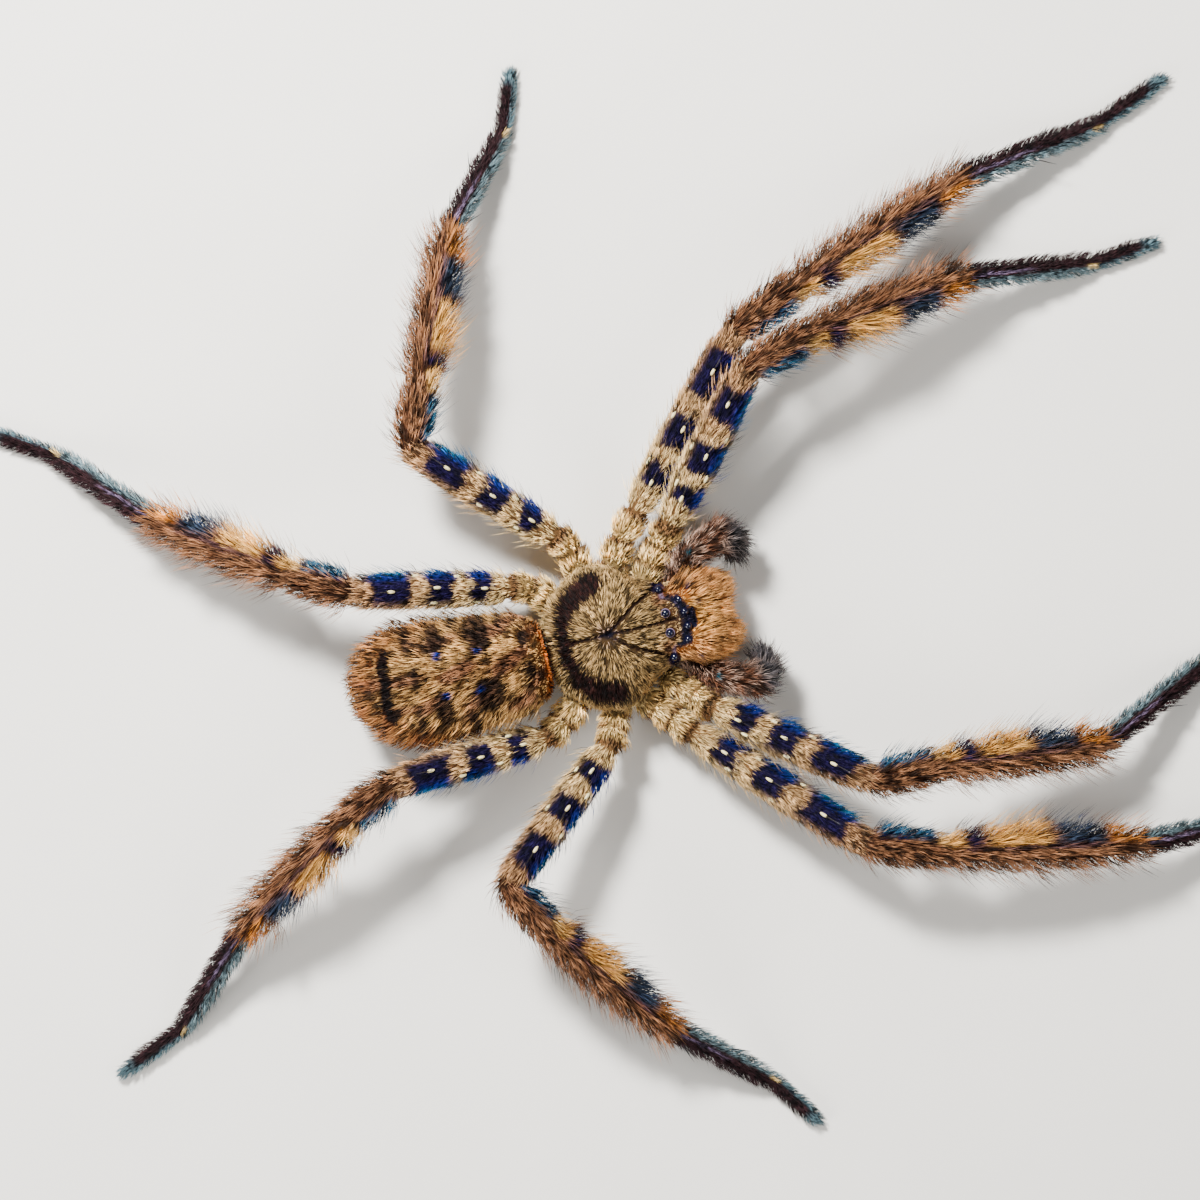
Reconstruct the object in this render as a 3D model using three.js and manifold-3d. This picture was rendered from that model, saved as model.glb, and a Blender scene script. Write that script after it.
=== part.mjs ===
// Huntsman spider, life size, standing on flat ground with its legs spread.
// Millimetres. +X is the way it faces, +Y is its left side, +Z is up.
// The measuring origin is the middle of the carapace, and the finished model stands on its box's foot.

import * as THREE from "three";
import { mergeVertices } from "three/addons/utils/BufferGeometryUtils.js";
import Module from "manifold-3d";

const wasm = await Module();
wasm.setup();

// Driving sizes
const GAP = 0.3;
const SWELL = 0.42;
const UP = new THREE.Vector3(0, 0, 1);
const LEFTWARD = new THREE.Vector3(0, 1, 0);
const ROUND = 2 * Math.PI;

// Carapace: its ends along X, its rim, and its highest line
const CARAPACE_REAR = -5.43;
const CARAPACE_FRONT = 6.15;
const CARAPACE_HALF_WIDTH = 5.9;
const HEAD_HALF_WIDTH = 3.35;
const RIM_Z = 4.0;
const CARAPACE_TOP_Z = 7.4;
const FACE_TOP_Z = 6.5;

// Abdomen: its ends, its height and its half-sizes where it is broadest
const ABDOMEN_FRONT = -5.95;
const ABDOMEN_REAR = -20.9;
const ABDOMEN_AXIS_Z = 4.9;
const ABDOMEN_HALF_HEIGHT = 3.5;
const ABDOMEN_HALF_WIDTH = 4.85;

// Legs in pairs, front to rear: plan lengths of femur, patella, tibia, metatarsus and tarsus
const PLAN_LENGTHS = {
  1: [13.9, 5.5, 13.1, 10.8, 5.1],
  2: [16.4, 6.1, 15.6, 12.2, 6.1],
  3: [13.6, 4.9, 12.3, 9.5, 4.6],
  4: [12.8, 4.7, 11.8, 9.9, 5.6],
};

// Height of the axis at the femur's root, knee, patella's end, tibia's end, metatarsus's end and tip
const AXIS_HEIGHTS = {
  1: [4.3, 8.5, 8.2, 4.4, 0.64, 0.48],
  2: [3.7, 6.9, 6.9, 4.0, 0.64, 0.48],
  3: [3.9, 7.9, 7.7, 4.1, 0.64, 0.48],
  4: [3.9, 7.9, 7.7, 4.1, 0.64, 0.48],
};

// Each leg: where coxa, trochanter and femur begin in plan, then the heading of the later segments
const LEGS = [
  {
    pair: 1,
    side: "left",
    base: [[3.9, 4.6], [5.1, 6.2], [6.0, 7.4]],
    headings: [50, 16, 7, -6, 5],
  },
  {
    pair: 2,
    side: "left",
    base: [[1.0, 5.4], [2.1, 7.3], [3.7, 9.0]],
    headings: [48, 22, 20, 9, 22],
  },
  {
    pair: 3,
    side: "left",
    base: [[-1.7, 5.3], [-1.8, 7.4], [-2.7, 8.6]],
    headings: [135, 67, 67, 49, 70],
  },
  {
    pair: 4,
    side: "left",
    base: [[-4.1, 3.7], [-5.7, 5.2], [-7.1, 5.6]],
    headings: [168, 151, 145, 134, 147],
  },
  {
    pair: 1,
    side: "right",
    base: [[3.9, -5.1], [5.1, -6.2], [6.1, -7.3]],
    headings: [-38, 0, -7, 24, 19],
  },
  {
    pair: 2,
    side: "right",
    base: [[1.7, -6.2], [2.9, -7.5], [4.0, -8.8]],
    headings: [-46, -19, -12, -2, 3],
  },
  {
    pair: 3,
    side: "right",
    base: [[-1.4, -6.0], [-2.0, -7.2], [-2.5, -8.4]],
    headings: [-140, -61, -53, -42, -55],
  },
  {
    pair: 4,
    side: "right",
    base: [[-4.2, -4.3], [-5.8, -5.8], [-7.1, -6.6]],
    headings: [-177, -155, -147, -136, -157],
  },
];

const COXA_Z = 2.6;
const TROCHANTER_Z = 3.1;
const COXA_INWARD = 1.4;

// Half-widths of each segment at its root, middle and end; every segment is as high as it is wide
const COXA_RADII = [0.95, 1.08, 0.95];
const FEMUR_RADII = [0.95, 1.22, 1.08];
const PATELLA_RADII = [1.05, 1.16, 1.08];
const TIBIA_RADII = [1.02, 1.12, 0.86];
const FOOT_RADII = [0.78, 0.56, 0.56];
const METATARSUS_RADII = [0.78, 0.66, 0.58];
const TARSUS_RADIUS = 0.6;
const TARSUS_STARTS_AT = 0.62;

const LEG_SIDES = 8;
const RINGS_BETWEEN = [0.22, 0.78];
const FOOT_RINGS_BETWEEN = [0.15, 0.85];

// Hair and spines. Reach is how far a lock's tip stands off the skin, and lean is how far it lies
// along the limb for each millimetre of reach. Angles turn from the top towards the limb's left.
const LOCK_THICKNESS = 0.8;
const LOCK_SINK = 0.4;
const SPINE_LENGTH = 1.9;
const SPINE_THICKNESS = 0.75;
const TIBIA_ROWS = [
  { angle: 90, count: 6, reach: 1.4, lean: 1.5, width: 2.4, standing: true },
  { angle: -90, count: 6, reach: 1.4, lean: 1.5, width: 2.4, standing: true },
  { angle: 30, count: 2, reach: 0.75, lean: 3.2, width: 2.2 },
  { angle: -30, count: 2, reach: 0.75, lean: 3.2, width: 2.2 },
  { angle: 180, count: 1, reach: 0.7, lean: 3, width: 2.2 },
];
const PATELLA_ROWS = [
  { angle: 90, count: 2, reach: 0.75, lean: 1.8, width: 1.9, standing: true },
  { angle: -90, count: 2, reach: 0.75, lean: 1.8, width: 1.9, standing: true },
  { angle: 10, count: 1, reach: 0.5, lean: 3, width: 1.9 },
];
const METATARSUS_ROWS = [
  { angle: 90, count: 2, reach: 0.5, lean: 2.6, width: 1.3, standing: true },
  { angle: -90, count: 2, reach: 0.5, lean: 2.6, width: 1.3, standing: true },
];
const COXA_ROWS = [{ angle: 0, count: 1, reach: 0.5, lean: 2.2, width: 1.8 }];
const PALP_ROWS = [
  { angle: 80, count: 2, reach: 0.75, lean: 1.3, width: 1.3, standing: true },
  { angle: -80, count: 2, reach: 0.75, lean: 1.3, width: 1.3, standing: true },
  { angle: 0, count: 2, reach: 0.5, lean: 2, width: 1.1 },
];
const JAW_ROWS = [
  { angle: 70, count: 1, reach: 0.5, lean: 1.5, width: 1.3 },
  { angle: 0, count: 1, reach: 0.5, lean: 1.5, width: 1.3 },
  { angle: -70, count: 1, reach: 0.5, lean: 1.5, width: 1.3 },
];
const FEMUR_SPINES = [[0.2, 0], [0.46, 5], [0.76, 0], [0.26, -60], [0.5, -60], [0.62, 60]];
const TIBIA_SPINES = [[0.3, 62], [0.32, -62]];
const METATARSUS_SPINES = [[0.16, 55], [0.18, -55]];

// Rings of locks round the abdomen: where each ring stands from front to rear, and its count
const ABDOMEN_RINGS = [[0.14, 6], [0.32, 8], [0.5, 9], [0.67, 10], [0.84, 10]];
const ABDOMEN_LOCK = { reach: 0.66, lean: 3.5, width: 2.9 };

// Eyes: plan place and radius on the left half, each with a twin on the right
const EYE_RADIUS = 0.33;
const SOCKET_GAP = 0.34;
const EYES = {
  eye_front_middle: [5.72, 0.58],
  eye_front_side: [5.5, 1.62],
  eye_rear_middle: [4.2, 0.8],
  eye_rear_side: [4.1, 2.75],
};

// Looks of the solids
const LOOKS = {
  carapace: { color: "#8a7752", roughness: 0.8 },
  sternum: { color: "#6e5236", roughness: 0.8 },
  abdomen: { color: "#a07c50", roughness: 0.9 },
  jaw: { color: "#be6e37", roughness: 0.8 },
  fang: { color: "#1c0f0c", roughness: 0.2 },
  palp: { color: "#785041", roughness: 0.9 },
  eye: { color: "#120c0a", roughness: 0.05 },
  coxa: { color: "#cdaf7d", roughness: 0.9 },
  femur: { color: "#c8a578", roughness: 0.9 },
  patella: { color: "#78503a", roughness: 0.9 },
  tibia: { color: "#784b32", roughness: 0.9 },
  foot: { color: "#321c1e", roughness: 0.9 },
};

// Solids and geometries

function solidOf(geometry) {
  geometry.deleteAttribute("normal");
  geometry.deleteAttribute("uv");
  const merged = mergeVertices(geometry, 1e-4);
  return new wasm.Manifold(new wasm.Mesh({
    numProp: 3,
    vertProperties: new Float32Array(merged.attributes.position.array),
    triVerts: new Uint32Array(merged.index.array),
  }));
}

function geometryOf(solid) {
  const mesh = solid.getMesh();
  const geometry = new THREE.BufferGeometry();
  geometry.setAttribute("position", new THREE.BufferAttribute(mesh.vertProperties, 3));
  geometry.setIndex(new THREE.BufferAttribute(mesh.triVerts, 1));
  geometry.computeVertexNormals();
  return geometry;
}

function largestPiece(solid) {
  const pieces = solid.decompose();
  return pieces.reduce((best, piece) => (piece.volume() > best.volume() ? piece : best));
}

// A size read along a limb from its values at the root, middle and end
function sizeAlong([root, middle, end], fraction) {
  if (fraction < 0.5) return THREE.MathUtils.lerp(root, middle, Math.sin(fraction * Math.PI));
  return THREE.MathUtils.lerp(end, middle, Math.sin(fraction * Math.PI));
}

// The plane in which two lengths of a limb meet, as its normal
function jointNormal(before, at, after) {
  const incoming = at.clone().sub(before).normalize();
  const outgoing = after.clone().sub(at).normalize();
  return incoming.add(outgoing).normalize();
}

// The unit axes of one straight length: along it, to its left, and up from it
function axesOf(start, end, sideways = null) {
  const along = end.clone().sub(start).normalize();
  const left = sideways
    ? sideways.clone().addScaledVector(along, -sideways.dot(along)).normalize()
    : UP.clone().cross(along).normalize();
  return { along, left, up: along.clone().cross(left) };
}

// A limb through its joints. Its ends stand in the given planes, half a gap back from each joint.
function limb({ joints, between = [], radii, sides = LEG_SIDES, startNormal, endNormal,
  sideways = null, extra = 0 }) {
  const lengths = joints.slice(1).map((joint, k) => joint.distanceTo(joints[k]));
  const total = lengths.reduce((sum, length) => sum + length, 0);
  const rings = [];
  let passed = 0;
  lengths.forEach((length, k) => {
    const axes = axesOf(joints[k], joints[k + 1], sideways);
    const first = k === 0;
    const last = k === lengths.length - 1;
    const from = first
      ? (startNormal ?? axes.along)
      : jointNormal(joints[k - 1], joints[k], joints[k + 1]);
    const to = last
      ? (endNormal ?? axes.along)
      : jointNormal(joints[k], joints[k + 1], joints[k + 2]);
    const steps = [...(first ? [0] : []), ...between, 1];
    const startBack = first ? GAP / 2 - extra : 0;
    const endBack = last ? GAP / 2 - extra : 0;
    for (const step of steps) {
      const tilt = from.clone().multiplyScalar((1 - step) / from.dot(axes.along))
        .addScaledVector(to, step / to.dot(axes.along));
      const travel = length * step
        + (1 - step) * startBack / from.dot(axes.along)
        - step * endBack / to.dot(axes.along);
      const fraction = (passed + length * step) / total;
      const radius = typeof radii === "function" ? radii(fraction) : sizeAlong(radii, fraction);
      rings.push({ origin: joints[k], axes, tilt, travel, radius: radius + extra });
    }
    passed += length;
  });
  return solidOf(skinOverRings(rings, sides));
}

// A closed cylinder whose rows are moved onto the rings
function skinOverRings(rings, sides) {
  const geometry = new THREE.CylinderGeometry(1, 1, 1, sides, rings.length - 1);
  const position = geometry.attributes.position;
  const corner = new THREE.Vector3();
  for (let i = 0; i < position.count; i += 1) {
    corner.fromBufferAttribute(position, i);
    const row = Math.round((0.5 - corner.y) * (rings.length - 1));
    const { origin, axes, tilt, travel, radius } = rings[row];
    const offset = axes.left.clone().multiplyScalar(corner.x * radius)
      .addScaledVector(axes.up, corner.z * radius);
    const place = origin.clone().add(offset)
      .addScaledVector(axes.along, travel - offset.dot(tilt));
    position.setXYZ(i, place.x, place.y, place.z);
  }
  return geometry;
}

// A closed cylinder along X whose rows follow a section function of the fraction and the angle
function hull({ sides, rows, section }) {
  const geometry = new THREE.CylinderGeometry(1, 1, 1, sides, rows);
  const position = geometry.attributes.position;
  for (let i = 0; i < position.count; i += 1) {
    const fraction = 0.5 - position.getY(i);
    const angle = Math.atan2(position.getZ(i), position.getX(i));
    const reach = Math.hypot(position.getX(i), position.getZ(i)) > 0.5 ? 1 : 0;
    const place = section(fraction, angle, reach);
    position.setXYZ(i, place.x, place.y, place.z);
  }
  return solidOf(geometry);
}

// Carapace: broad and round at the rear, narrower at the head, domed over a nearly flat rim plane

const CARAPACE_LENGTH = CARAPACE_FRONT - CARAPACE_REAR;
const CARAPACE_SIDES = 22;
const CARAPACE_ROWS = 11;
const WIDEST_AT = 0.42;
const HEAD_STARTS_AT = 0.82;
const FACE_STARTS_AT = 0.86;
const FACE_NARROWING = 0.2;
const RIM_BAND = 0.7;
const RIM_DEPTH = 0.3;
const DOME_ROUNDNESS = 0.8;

function carapaceHalfWidth(fraction) {
  const rear = Math.sqrt(Math.max(0, 1 - ((WIDEST_AT - fraction) / (WIDEST_AT + 0.02)) ** 2));
  if (fraction < WIDEST_AT) return CARAPACE_HALF_WIDTH * rear;
  const taper = THREE.MathUtils.smoothstep(fraction, WIDEST_AT, HEAD_STARTS_AT);
  const body = THREE.MathUtils.lerp(CARAPACE_HALF_WIDTH, HEAD_HALF_WIDTH, taper);
  const corner = THREE.MathUtils.smoothstep(fraction, FACE_STARTS_AT, 1);
  return body * (1 - FACE_NARROWING * corner * corner);
}

function carapaceTop(fraction) {
  const rear = THREE.MathUtils.smoothstep(fraction, -0.02, 0.36);
  const front = THREE.MathUtils.smoothstep(fraction, 0.55, 1);
  const dome = RIM_Z + RIM_BAND + (CARAPACE_TOP_Z - RIM_Z - RIM_BAND) * rear;
  return dome - (CARAPACE_TOP_Z - FACE_TOP_Z) * front;
}

// Rows stand closer at both ends, where the outline turns
function easedFraction(fraction) {
  return 0.5 - 0.5 * Math.cos(Math.PI * (0.06 + 0.88 * fraction)) / Math.cos(Math.PI * 0.06);
}

function carapaceHeightAt(x, y) {
  const fraction = (x - CARAPACE_REAR) / CARAPACE_LENGTH;
  const across = Math.min(1, Math.abs(y) / carapaceHalfWidth(fraction));
  const rise = Math.sqrt(1 - across * across) ** DOME_ROUNDNESS;
  return RIM_Z + (carapaceTop(fraction) - RIM_Z) * rise;
}

function carapaceSolid(extra = 0) {
  return hull({
    sides: CARAPACE_SIDES,
    rows: CARAPACE_ROWS,
    section: (rowFraction, angle, reach) => {
      const fraction = easedFraction(rowFraction);
      const rise = Math.sin(angle);
      const half = carapaceHalfWidth(fraction) + extra;
      const top = carapaceTop(fraction) - RIM_Z + extra;
      const shape = rise > 0 ? top * rise ** DOME_ROUNDNESS : (RIM_DEPTH + extra) * rise;
      const onward = (fraction - 0.5) * 2 * extra;
      return {
        x: CARAPACE_REAR + CARAPACE_LENGTH * fraction + onward,
        y: half * Math.cos(angle) * reach,
        z: RIM_Z + (reach ? shape : 0.35 * top),
      };
    },
  });
}

// Sternum: a low oval plate between the coxae

const STERNUM_MIDDLE = [-0.1, -0.1];
const STERNUM_HALF_LENGTH = 3.3;
const STERNUM_HALF_WIDTH = 2.7;
const STERNUM_BOTTOM_Z = 1.7;
const STERNUM_TOP_Z = RIM_Z - RIM_DEPTH - GAP;

function sternumSolid(extra = 0) {
  const middleZ = (STERNUM_BOTTOM_Z + STERNUM_TOP_Z) / 2;
  const halfHeight = (STERNUM_TOP_Z - STERNUM_BOTTOM_Z) / 2;
  const ball = new THREE.SphereGeometry(1, 14, 6);
  ball.scale(STERNUM_HALF_LENGTH + extra, STERNUM_HALF_WIDTH + extra, halfHeight + extra);
  ball.translate(STERNUM_MIDDLE[0], STERNUM_MIDDLE[1], middleZ);
  return solidOf(ball);
}

// Pedicel: the thin waist from the rear of the sternum to the front of the abdomen

const PEDICEL_FRONT = new THREE.Vector3(-3.1, -0.1, 2.8);
const PEDICEL_REAR = new THREE.Vector3(-6.65, -0.25, 3.0);
const PEDICEL_RADIUS = 0.62;

function pedicelSolid() {
  return limb({ joints: [PEDICEL_FRONT, PEDICEL_REAR], radii: () => PEDICEL_RADIUS });
}

// Abdomen: a long oval, broadest in its rear half, with two pairs of spinnerets under its tail

const ABDOMEN_LENGTH = ABDOMEN_FRONT - ABDOMEN_REAR;
const ABDOMEN_SIDES = 18;
const ABDOMEN_ROWS = 11;
const BROADEST_AT = 0.68;
const REAR_ROUNDNESS = 2.3;
const FRONT_SIZE = 0.76;
const SHOULDER_AT = 0.1;
const SHOULDER_SIZE = 0.66;
const BELLY_FLATTENING = 0.92;
const ABDOMEN_FRONT_Y = -0.35;
const ABDOMEN_BEND = 0.55;
const ABDOMEN_ARCH = 0.25;

// The abdomen's size from its blunt front, over its shoulders and its broadest part, to its round rear
function abdomenSize(fraction) {
  if (fraction > BROADEST_AT) {
    const turn = (fraction - BROADEST_AT) / (1.004 - BROADEST_AT);
    return Math.sqrt(Math.max(0, 1 - turn ** REAR_ROUNDNESS));
  }
  const onward = Math.sin(fraction / BROADEST_AT * Math.PI / 2);
  const ahead = Math.max(0, 1 - fraction / SHOULDER_AT);
  const shoulder = SHOULDER_SIZE + (1 - SHOULDER_SIZE) * Math.sqrt(1 - ahead * ahead);
  return (FRONT_SIZE + (1 - FRONT_SIZE) * onward) * shoulder;
}

function abdomenMiddle(fraction) {
  const x = ABDOMEN_FRONT - ABDOMEN_LENGTH * fraction;
  const y = ABDOMEN_FRONT_Y + ABDOMEN_BEND * fraction * fraction;
  const z = ABDOMEN_AXIS_Z + ABDOMEN_ARCH * Math.sin(fraction * Math.PI);
  return new THREE.Vector3(x, y, z);
}

function abdomenPoint(fraction, angle, extra = 0) {
  const size = abdomenSize(fraction);
  const middle = abdomenMiddle(fraction);
  const low = Math.sin(angle) < 0 ? BELLY_FLATTENING : 1;
  middle.y += (ABDOMEN_HALF_WIDTH * size + extra) * Math.cos(angle);
  middle.z += (ABDOMEN_HALF_HEIGHT * size * low + extra) * Math.sin(angle);
  return middle;
}

const SPINNERET_RADII = [0.55, 0.5, 0.3];
const SPINNERET_SIDES = 6;
const SPINNERETS = [
  { start: [-19.6, 0.75, 2.6], end: [-21.3, 1.0, 2.3] },
  { start: [-19.6, -0.55, 2.6], end: [-21.3, -0.8, 2.3] },
];

function abdomenBody(extra = 0) {
  return hull({
    sides: ABDOMEN_SIDES,
    rows: ABDOMEN_ROWS,
    section: (rowFraction, angle, reach) => {
      const fraction = 1 - easedFraction(rowFraction);
      const place = reach ? abdomenPoint(fraction, angle, extra) : abdomenMiddle(fraction);
      place.x += (1 - 2 * fraction) * extra;
      return place;
    },
  });
}

function abdomenSolid() {
  return SPINNERETS.reduce((solid, { start, end }) => solid.add(limb({
    joints: [new THREE.Vector3(...start), new THREE.Vector3(...end)],
    radii: SPINNERET_RADII,
    sides: SPINNERET_SIDES,
  })), abdomenBody());
}

// Chelicerae: two stout jaws in front of the face that turn down, each with a fang folded under it

const JAW_PLACES = [
  [4.8, 1.8, 5.0],
  [6.3, 1.9, 5.05],
  [7.45, 1.93, 4.35],
  [8.0, 1.9, 3.2],
  [8.05, 1.85, 2.0],
];
const JAW_RADIUS = 1.15;
const JAW_FULLNESS = 0.5;
const JAW_SIDES = 12;
const FANG_PLACES = [[8.05, 1.95, 1.75], [7.9, 1.75, 1.25], [7.7, 1.2, 1.0], [7.55, 0.45, 0.95]];
const FANG_ROOT_RADIUS = 0.42;
const FANG_TIP_RADIUS = 0.12;
const FANG_SIDES = 6;

function onSide(places, side) {
  return places.map(([x, y, z]) => new THREE.Vector3(x, y * side, z));
}

function jawRadius(fraction) {
  return JAW_RADIUS + JAW_FULLNESS * Math.sin(Math.PI * (0.1 + 0.72 * fraction));
}

function jawSolid(side, extra = 0) {
  return limb({
    joints: onSide(JAW_PLACES, side),
    radii: jawRadius,
    sides: JAW_SIDES,
    sideways: LEFTWARD,
    extra,
  });
}

function fangSolid(side) {
  return limb({
    joints: onSide(FANG_PLACES, side),
    radii: (fraction) => THREE.MathUtils.lerp(FANG_ROOT_RADIUS, FANG_TIP_RADIUS, fraction),
    sides: FANG_SIDES,
    sideways: new THREE.Vector3(1, 0, 0),
    startNormal: new THREE.Vector3(0, 0, -1),
  });
}

// Palps: a short leg beside each jaw. Its last joint curves down and inward.

const PALP_PLACES = {
  left: [
    [4.2, 1.7, 2.4],
    [5.7, 2.95, 2.45],
    [7.2, 5.0, 4.4],
    [10.1, 5.85, 4.5],
    [10.75, 5.1, 3.1],
    [10.75, 4.3, 2.0],
  ],
  right: [
    [4.2, -1.8, 2.4],
    [5.7, -3.1, 2.45],
    [7.1, -5.1, 4.4],
    [10.2, -6.15, 4.5],
    [10.95, -5.2, 3.1],
    [11.0, -4.3, 2.0],
  ],
};
const PALP_FEMUR_RADII = [0.85, 0.95, 0.9];
const PALP_TARSUS_RADIUS = 0.95;
const PALP_TARSUS_FULLNESS = 0.25;
const PALP_LOCK_RADIUS = 1.08;

function palpTarsusRadius(fraction) {
  return PALP_TARSUS_RADIUS + PALP_TARSUS_FULLNESS * (Math.sin(fraction * Math.PI) - fraction ** 3);
}

// The side of a palp that its last joint curves towards
function palpInward(side) {
  return new THREE.Vector3(0.2, 1, 0).multiplyScalar(side);
}

function palpParts(sideName, side) {
  const places = PALP_PLACES[sideName].map((place) => new THREE.Vector3(...place));
  const kneeNormal = jointNormal(places[1], places[2], places[3]);
  return {
    palp_femur: limb({
      joints: places.slice(0, 3),
      between: [0.5],
      radii: PALP_FEMUR_RADII,
      endNormal: kneeNormal,
    }),
    palp_tarsus: limb({
      joints: places.slice(2),
      between: [0.5],
      radii: palpTarsusRadius,
      startNormal: kneeNormal,
      sideways: palpInward(side),
    }),
  };
}

// Legs

function legJoints({ pair, base, headings }) {
  const heights = AXIS_HEIGHTS[pair];
  const [coxa, trochanter, femur] = base;
  const joints = [
    new THREE.Vector3(...coxa, COXA_Z),
    new THREE.Vector3(...trochanter, TROCHANTER_Z),
    new THREE.Vector3(...femur, heights[0]),
  ];
  const place = joints[2].clone();
  headings.forEach((heading, k) => {
    const turn = THREE.MathUtils.degToRad(heading);
    const length = PLAN_LENGTHS[pair][k];
    place.x += length * Math.cos(turn);
    place.y += length * Math.sin(turn);
    place.z = heights[k + 1];
    joints.push(place.clone());
  });
  const inward = joints[0].clone().sub(joints[1]).setZ(0).setLength(COXA_INWARD);
  joints.unshift(joints[0].clone().add(inward));
  return joints;
}

function coxaSolid(leg, extra = 0) {
  const joints = legJoints(leg).slice(0, 5);
  const endNormal = jointNormal(joints[2], joints[3], joints[4]);
  return limb({ joints: joints.slice(0, 4), between: [0.5], radii: COXA_RADII, endNormal, extra });
}

function legSolids(leg) {
  const joints = legJoints(leg);
  const planes = joints.slice(1, -1).map((joint, k) => jointNormal(joints[k], joint, joints[k + 2]));
  const straight = (k, radii, startNormal, endNormal) => limb({
    joints: [joints[k], joints[k + 1]],
    between: RINGS_BETWEEN,
    radii,
    startNormal,
    endNormal,
  });
  const foot = limb({
    joints: joints.slice(6),
    between: FOOT_RINGS_BETWEEN,
    radii: (fraction) => (fraction > TARSUS_STARTS_AT ? TARSUS_RADIUS : sizeAlong(FOOT_RADII, fraction)),
    startNormal: planes[5],
  });
  return {
    coxa: coxaSolid(leg),
    femur: straight(3, FEMUR_RADII, planes[2], planes[3]),
    patella: straight(4, PATELLA_RADII, planes[3], planes[4]),
    tibia: straight(5, TIBIA_RADII, planes[4], planes[5]),
    foot: foot.trimByPlane([0, 0, 1], 0),
  };
}

// Locks of hair and spines

let randomState = 20;

// A steady draw between -1 and 1, the same on every run
function draw() {
  randomState = (randomState * 1664525 + 1013904223) % 4294967296;
  return randomState / 2147483648 - 1;
}

// A flat, pointed lock from its sunk root to its tip, bowed away from the skin
function lockSolid({ root, tip, facing, width, thickness, bow, sides, rows }, share = 1, extra = 0) {
  const along = tip.clone().sub(root).multiplyScalar(share);
  const length = along.length() + extra;
  along.normalize();
  const across = along.clone().cross(facing).normalize();
  const outward = across.clone().cross(along).normalize();
  const cone = new THREE.ConeGeometry(1, 1, sides, rows);
  const position = cone.attributes.position;
  const corner = new THREE.Vector3();
  for (let i = 0; i < position.count; i += 1) {
    corner.fromBufferAttribute(position, i);
    const step = corner.y + 0.5;
    const fullness = step > 0.1 && step < 0.9 ? 1.65 : 0.62;
    const rise = bow * length * 4 * step * (1 - step);
    const place = root.clone()
      .addScaledVector(along, step * length)
      .addScaledVector(across, corner.x * fullness * (width / 2 + extra))
      .addScaledVector(outward, corner.z * fullness * (thickness / 2 + extra) + rise);
    position.setXYZ(i, place.x, place.y, place.z);
  }
  return solidOf(cone);
}

function lockAt(surface, normal, along, tangent, { reach, lean, width, standing = false }) {
  const size = 1 + 0.14 * draw();
  return {
    root: surface.clone().addScaledVector(normal, -LOCK_SINK),
    tip: surface.clone().addScaledVector(normal, reach * size)
      .addScaledVector(along, reach * lean * size).addScaledVector(tangent, 0.15 * draw()),
    facing: standing ? tangent : normal,
    width: width * (1 + 0.12 * draw()),
    thickness: LOCK_THICKNESS,
    bow: standing ? 0.02 : 0.09,
    sides: 3,
    rows: 2,
  };
}

function spineAt(surface, normal, along) {
  const tilt = 0.75 + 0.15 * draw();
  const direction = normal.clone().multiplyScalar(Math.sin(tilt)).addScaledVector(along, Math.cos(tilt));
  return {
    root: surface.clone().addScaledVector(normal, -LOCK_SINK),
    tip: surface.clone().addScaledVector(direction, SPINE_LENGTH * (1 + 0.1 * draw())),
    facing: normal,
    width: SPINE_THICKNESS,
    thickness: SPINE_THICKNESS,
    bow: 0,
    sides: 3,
    rows: 1,
  };
}

// The place on a straight length at a step along it and an angle round it
function placeOnLength({ start, end, radii, sideways }, step, degrees) {
  const { along, left, up } = axesOf(start, end, sideways);
  const turn = THREE.MathUtils.degToRad(degrees);
  const normal = up.clone().multiplyScalar(Math.cos(turn)).addScaledVector(left, Math.sin(turn));
  const tangent = left.clone().multiplyScalar(Math.cos(turn)).addScaledVector(up, -Math.sin(turn));
  const radius = typeof radii === "function" ? radii(step) : sizeAlong(radii, step);
  const surface = start.clone().lerp(end, step).addScaledVector(normal, radius * 0.94);
  return { surface, normal, along, tangent };
}

function locksOnLength(length, rows, from = 0.08, to = 0.9) {
  const locks = [];
  for (const row of rows) {
    for (let k = 0; k < row.count; k += 1) {
      const step = from + (to - from) * (k + 0.5 + 0.18 * draw()) / row.count;
      const { surface, normal, along, tangent } = placeOnLength(length, step, row.angle + 9 * draw());
      locks.push(lockAt(surface, normal, along, tangent, row));
    }
  }
  return locks;
}

// Spines stand on the hind side for negative angles and on the fore side for positive ones
function spinesOnLength(length, places, foreSide) {
  return places.map(([step, degrees]) => {
    const { surface, normal, along } = placeOnLength(length, step, degrees * foreSide);
    return spineAt(surface, normal, along);
  });
}

function abdomenLocks() {
  const locks = [];
  const small = 0.01;
  ABDOMEN_RINGS.forEach(([fraction, count], ring) => {
    for (let k = 0; k < count; k += 1) {
      const angle = ROUND * (k + 0.5 * (ring % 2) + 0.15 * draw()) / count;
      const surface = abdomenPoint(fraction, angle);
      const along = abdomenPoint(fraction + small, angle).sub(surface).normalize();
      const tangent = abdomenPoint(fraction, angle + small).sub(surface).normalize();
      const normal = tangent.clone().cross(along).normalize();
      if (normal.dot(surface.clone().sub(abdomenMiddle(fraction))) < 0) normal.negate();
      surface.addScaledVector(normal, -0.06);
      locks.push(lockAt(surface, normal, along, tangent, ABDOMEN_LOCK));
    }
  });
  return locks;
}

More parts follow.
